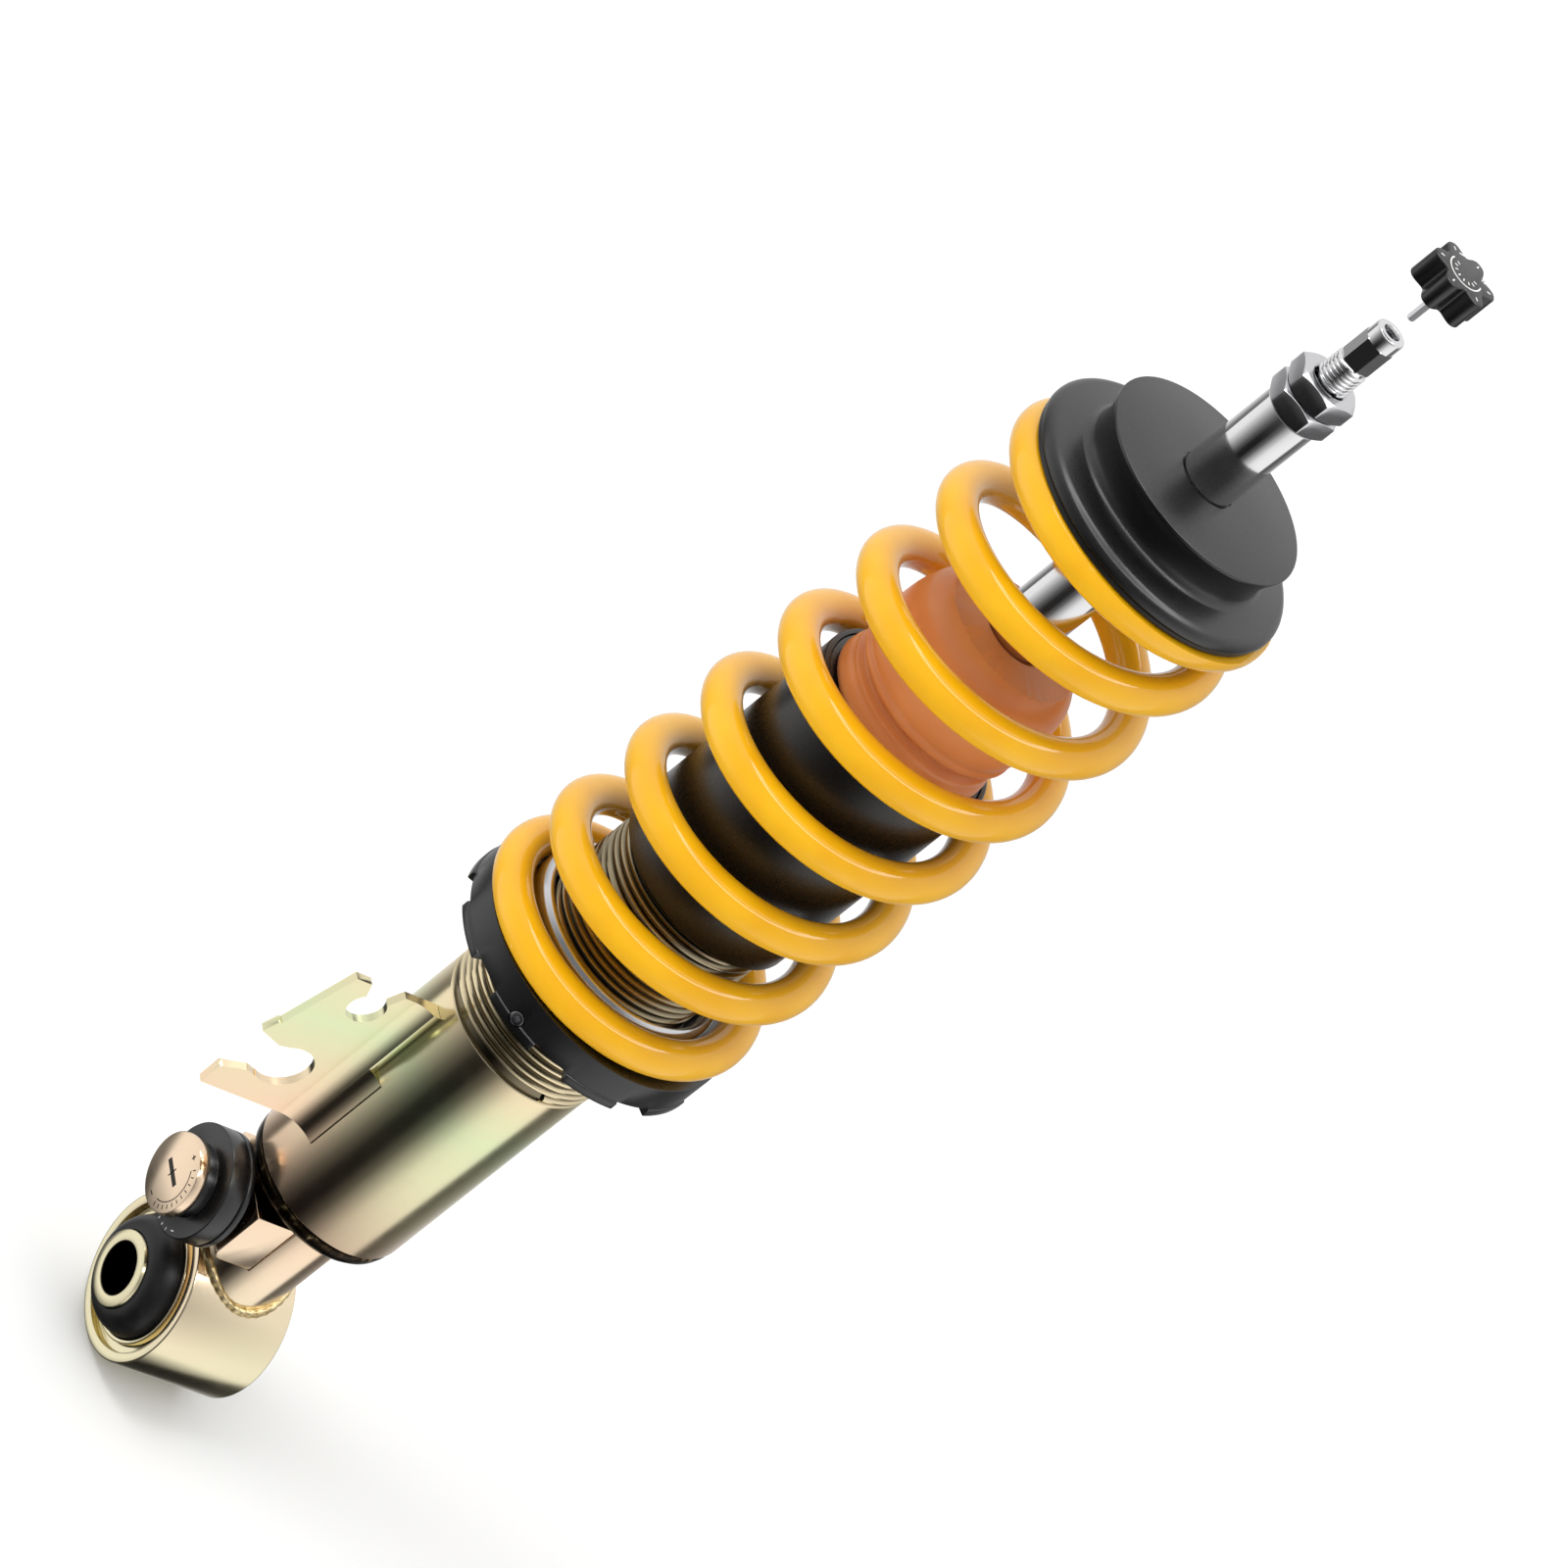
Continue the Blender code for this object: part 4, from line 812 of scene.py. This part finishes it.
seat = {"bore": 5.3, "flange": 373.8, "radius": 40.1, "top": 390.2, "disc": 30.7}


def buildSeat():
    flange, top = seat["flange"], seat["top"]
    profile = [(seat["bore"], 376.3, 0), (25.5, 376.3, 0), (25.5, 364.0, 0), (29.8, 364.0, 0.8), (29.8, flange, 0),
               (seat["radius"], flange, 0.4), (seat["radius"], flange + 2.3, 1.3), (38.4, flange + 3.6, 1.2), (30.6, flange + 4.7, 0.25),
               (28.9, flange + 5.6, 1.2), (28.3, flange + 10.5, 5.0), (seat["disc"], top - 0.8, 0.25), (seat["disc"], top, 0.3),
               (8.4, top, 0), (8.4, top - 0.3, 0), (seat["bore"], top - 0.3, 0)]
    makePiece("upperSpringSeat", turnProfile(profile, 160), anodised, "rod_assembly", "upper_spring_seat")
    pad = [(30.2, 371.9, 0), (39.6, 371.9, 0.4), (39.6, 373.5, 0.4), (30.2, 373.5, 0)]
    makePiece("springPad", turnProfile(pad, 144), rubber, "rod_assembly", "spring_pad")


rodEnd = {"radius": 8.3, "stub": 4.95, "minor": 4.2, "bore": 2.45, "hexFlats": 8.0, "hexLow": 440.2, "hexHigh": 449.2, "tip": 4.4,
          "top": 453.0, "pitch": 1.25, "threadLow": 432.0}


def buildRod():
    stub, minor = rodEnd["stub"], rodEnd["minor"]
    profile = [(rodEnd["bore"], 210, 0), (minor, 210, 0.3), (minor, 236, 0), (rodEnd["radius"], 236, 0.4), (rodEnd["radius"], 376, 0.4),
               (stub, 376, 0), (stub, 425, 0), (minor, 425.5, 0), (minor, rodEnd["hexLow"] + 0.3, 0), (rodEnd["bore"], rodEnd["hexLow"] + 0.3, 0)]
    shaft = turnProfile(profile, 128)
    thread = screwThread(minor, rodEnd["stub"], rodEnd["pitch"], rodEnd["threadLow"], 6, 64)
    # the spanner hexagon, chamfered at both ends, and the round tip with its bored end
    corner = rodEnd["hexFlats"] / math.sqrt(3)
    low, high = rodEnd["hexLow"], rodEnd["hexHigh"]
    chamfer = turnProfile([(0, low, 0), (corner - 0.5, low, 0), (corner + 0.1, low + 0.5, 0), (corner + 0.1, high - 0.3, 0),
                           (corner - 0.4, high, 0), (0, high, 0)], 96, closed=False)
    hexagon = carve(rod(corner, low, high, 6, -48 + 30), chamfer, "INTERSECT")
    hexagon = carve(hexagon, rod(rodEnd["bore"], low - 1, high + 1, 48))
    tip = [(rodEnd["bore"], high - 0.2, 0), (rodEnd["tip"], high - 0.2, 0), (rodEnd["tip"], rodEnd["top"], 0.7), (rodEnd["bore"], rodEnd["top"], 0.2)]
    makePiece("pistonRod", joinMeshes(shaft, thread, hexagon, turnProfile(tip, 96)), chrome, "rod_assembly", "piston_rod")
    adjuster = carve(turnProfile([(0, 216, 0), (2.1, 220, 0), (2.1, 451.8, 0.2), (0, 451.8, 0)], 48, closed=False), rod(1.5, 446.3, 455, 6, 12))
    makePiece("reboundAdjusterRod", adjuster, turnedSteel, "rebound_rod", "rebound_adjuster_rod")


nuts = {"flats": 17.0, "height": 6.0, "lower": 420.0, "upper": 426.3, "facing": -49}


def buildNuts():
    spacer = [(5.3, 390.2, 0), (8.06, 390.2, 0.2), (8.06, 419.7, 0.35), (5.3, 419.7, 0)]
    makePiece("spacerSleeve", turnProfile(spacer, 128), chrome, "rod_assembly", "spacer_sleeve")
    corner = nuts["flats"] / math.sqrt(3)
    for name, node, low in (("lowerNut", "lower_nut", nuts["lower"]), ("upperNut", "upper_nut", nuts["upper"])):
        high = low + nuts["height"]
        # cones turn the hexagon's corners away at 30 degrees, and a countersink leads the thread in
        cones = turnProfile([(5.0, low + 0.5, 0), (5.6, low, 0), (8.3, low, 0), (corner + 0.4, low + 1.1, 0), (corner + 0.4, high - 1.1, 0),
                             (8.3, high, 0), (5.6, high, 0), (5.0, high - 0.5, 0)], 96)
        bm = carve(rod(corner, low - 1, high + 1, 6, nuts["facing"] + 30), cones, "INTERSECT")
        roundEdges(bm, 0.12, 2, 24)
        makePiece(name, bm, nickel, "rod_assembly", node, sharp=18)


# ---- rebound knob ----

knob = {"bottom": 468.5, "top": 477.4, "radius": 9.8, "flute": 3.0, "lobes": 6, "turn": 10}


def buildKnob():
    bm = bmesh.new()
    low, high = knob["bottom"], knob["top"]
    bmesh.ops.create_circle(bm, cap_ends=True, segments=180, radius=knob["radius"] * mm,
                            matrix=Matrix.Translation((0, 0, low * mm)))
    for vert in bm.verts:
        angle = math.atan2(vert.co.y, vert.co.x) - math.radians(knob["turn"])
        dip = max(0.0, 0.5 - 0.5 * math.cos(knob["lobes"] * angle)) ** 1.4
        vert.co.xy *= 1 - knob["flute"] / knob["radius"] * dip
    grown = bmesh.ops.extrude_face_region(bm, geom=bm.faces[:])["geom"]
    bmesh.ops.translate(bm, verts=[v for v in grown if isinstance(v, bmesh.types.BMVert)], vec=(0, 0, (high - low) * mm))
    bmesh.ops.recalc_face_normals(bm, faces=bm.faces)
    roundEdges(bm, 0.45, 3, 45)
    bm = carve(bm, rod(1.35, low - 2, high - 6.0, 24))
    makePiece("reboundKnob", bm, anodised, "knob", "rebound_knob")
    marks = [arcMark(5.0, -150, 60, 0.4, high), sign(6.6, 96, 1.6, 0.45, high, True), sign(6.6, -186, 1.6, 0.45, high, False)]
    marks += [tick(7.7, knob["turn"] + 60 * k, 0.4, 1.1, high) for k in range(6)]
    marks += [tick(3.2, a, 0.35, 1.0, high) for a in range(-150, 61, 30)]
    makePiece("reboundMarks", joinMeshes(*marks), whiteInk, "knob")
    pin = carve(rod(2.0 / math.sqrt(3), 458.8, high - 6.5, 6), turnProfile([(0, 458.8, 0), (0.9, 458.8, 0), (1.3, 459.3, 0), (1.3, high - 6.5, 0),
                                                                           (0, high - 6.5, 0)], 48, closed=False), "INTERSECT")
    makePiece("knobPin", pin, nickel, "knob", "knob_pin")


buildSeat()
buildRod()
buildNuts()
buildKnob()
print("coilover: seat, rod end and knob")

# ---- pieces inside, kept from the frame ----

inside = {turnedSteel: ["high_speed_sleeve", "low_speed_needle", "inner_cylinder", "base_valve", "rod_guide", "closure_nut", "piston",
                        "shim_stack", "piston_nut"],
          rubber: ["rod_seal", "rebound_stop"], satinPlastic: ["piston_band"]}
for material, names in inside.items():
    for name in names:
        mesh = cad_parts[name].data
        mesh.materials.clear()
        mesh.materials.append(material)
print("coilover: inner pieces")
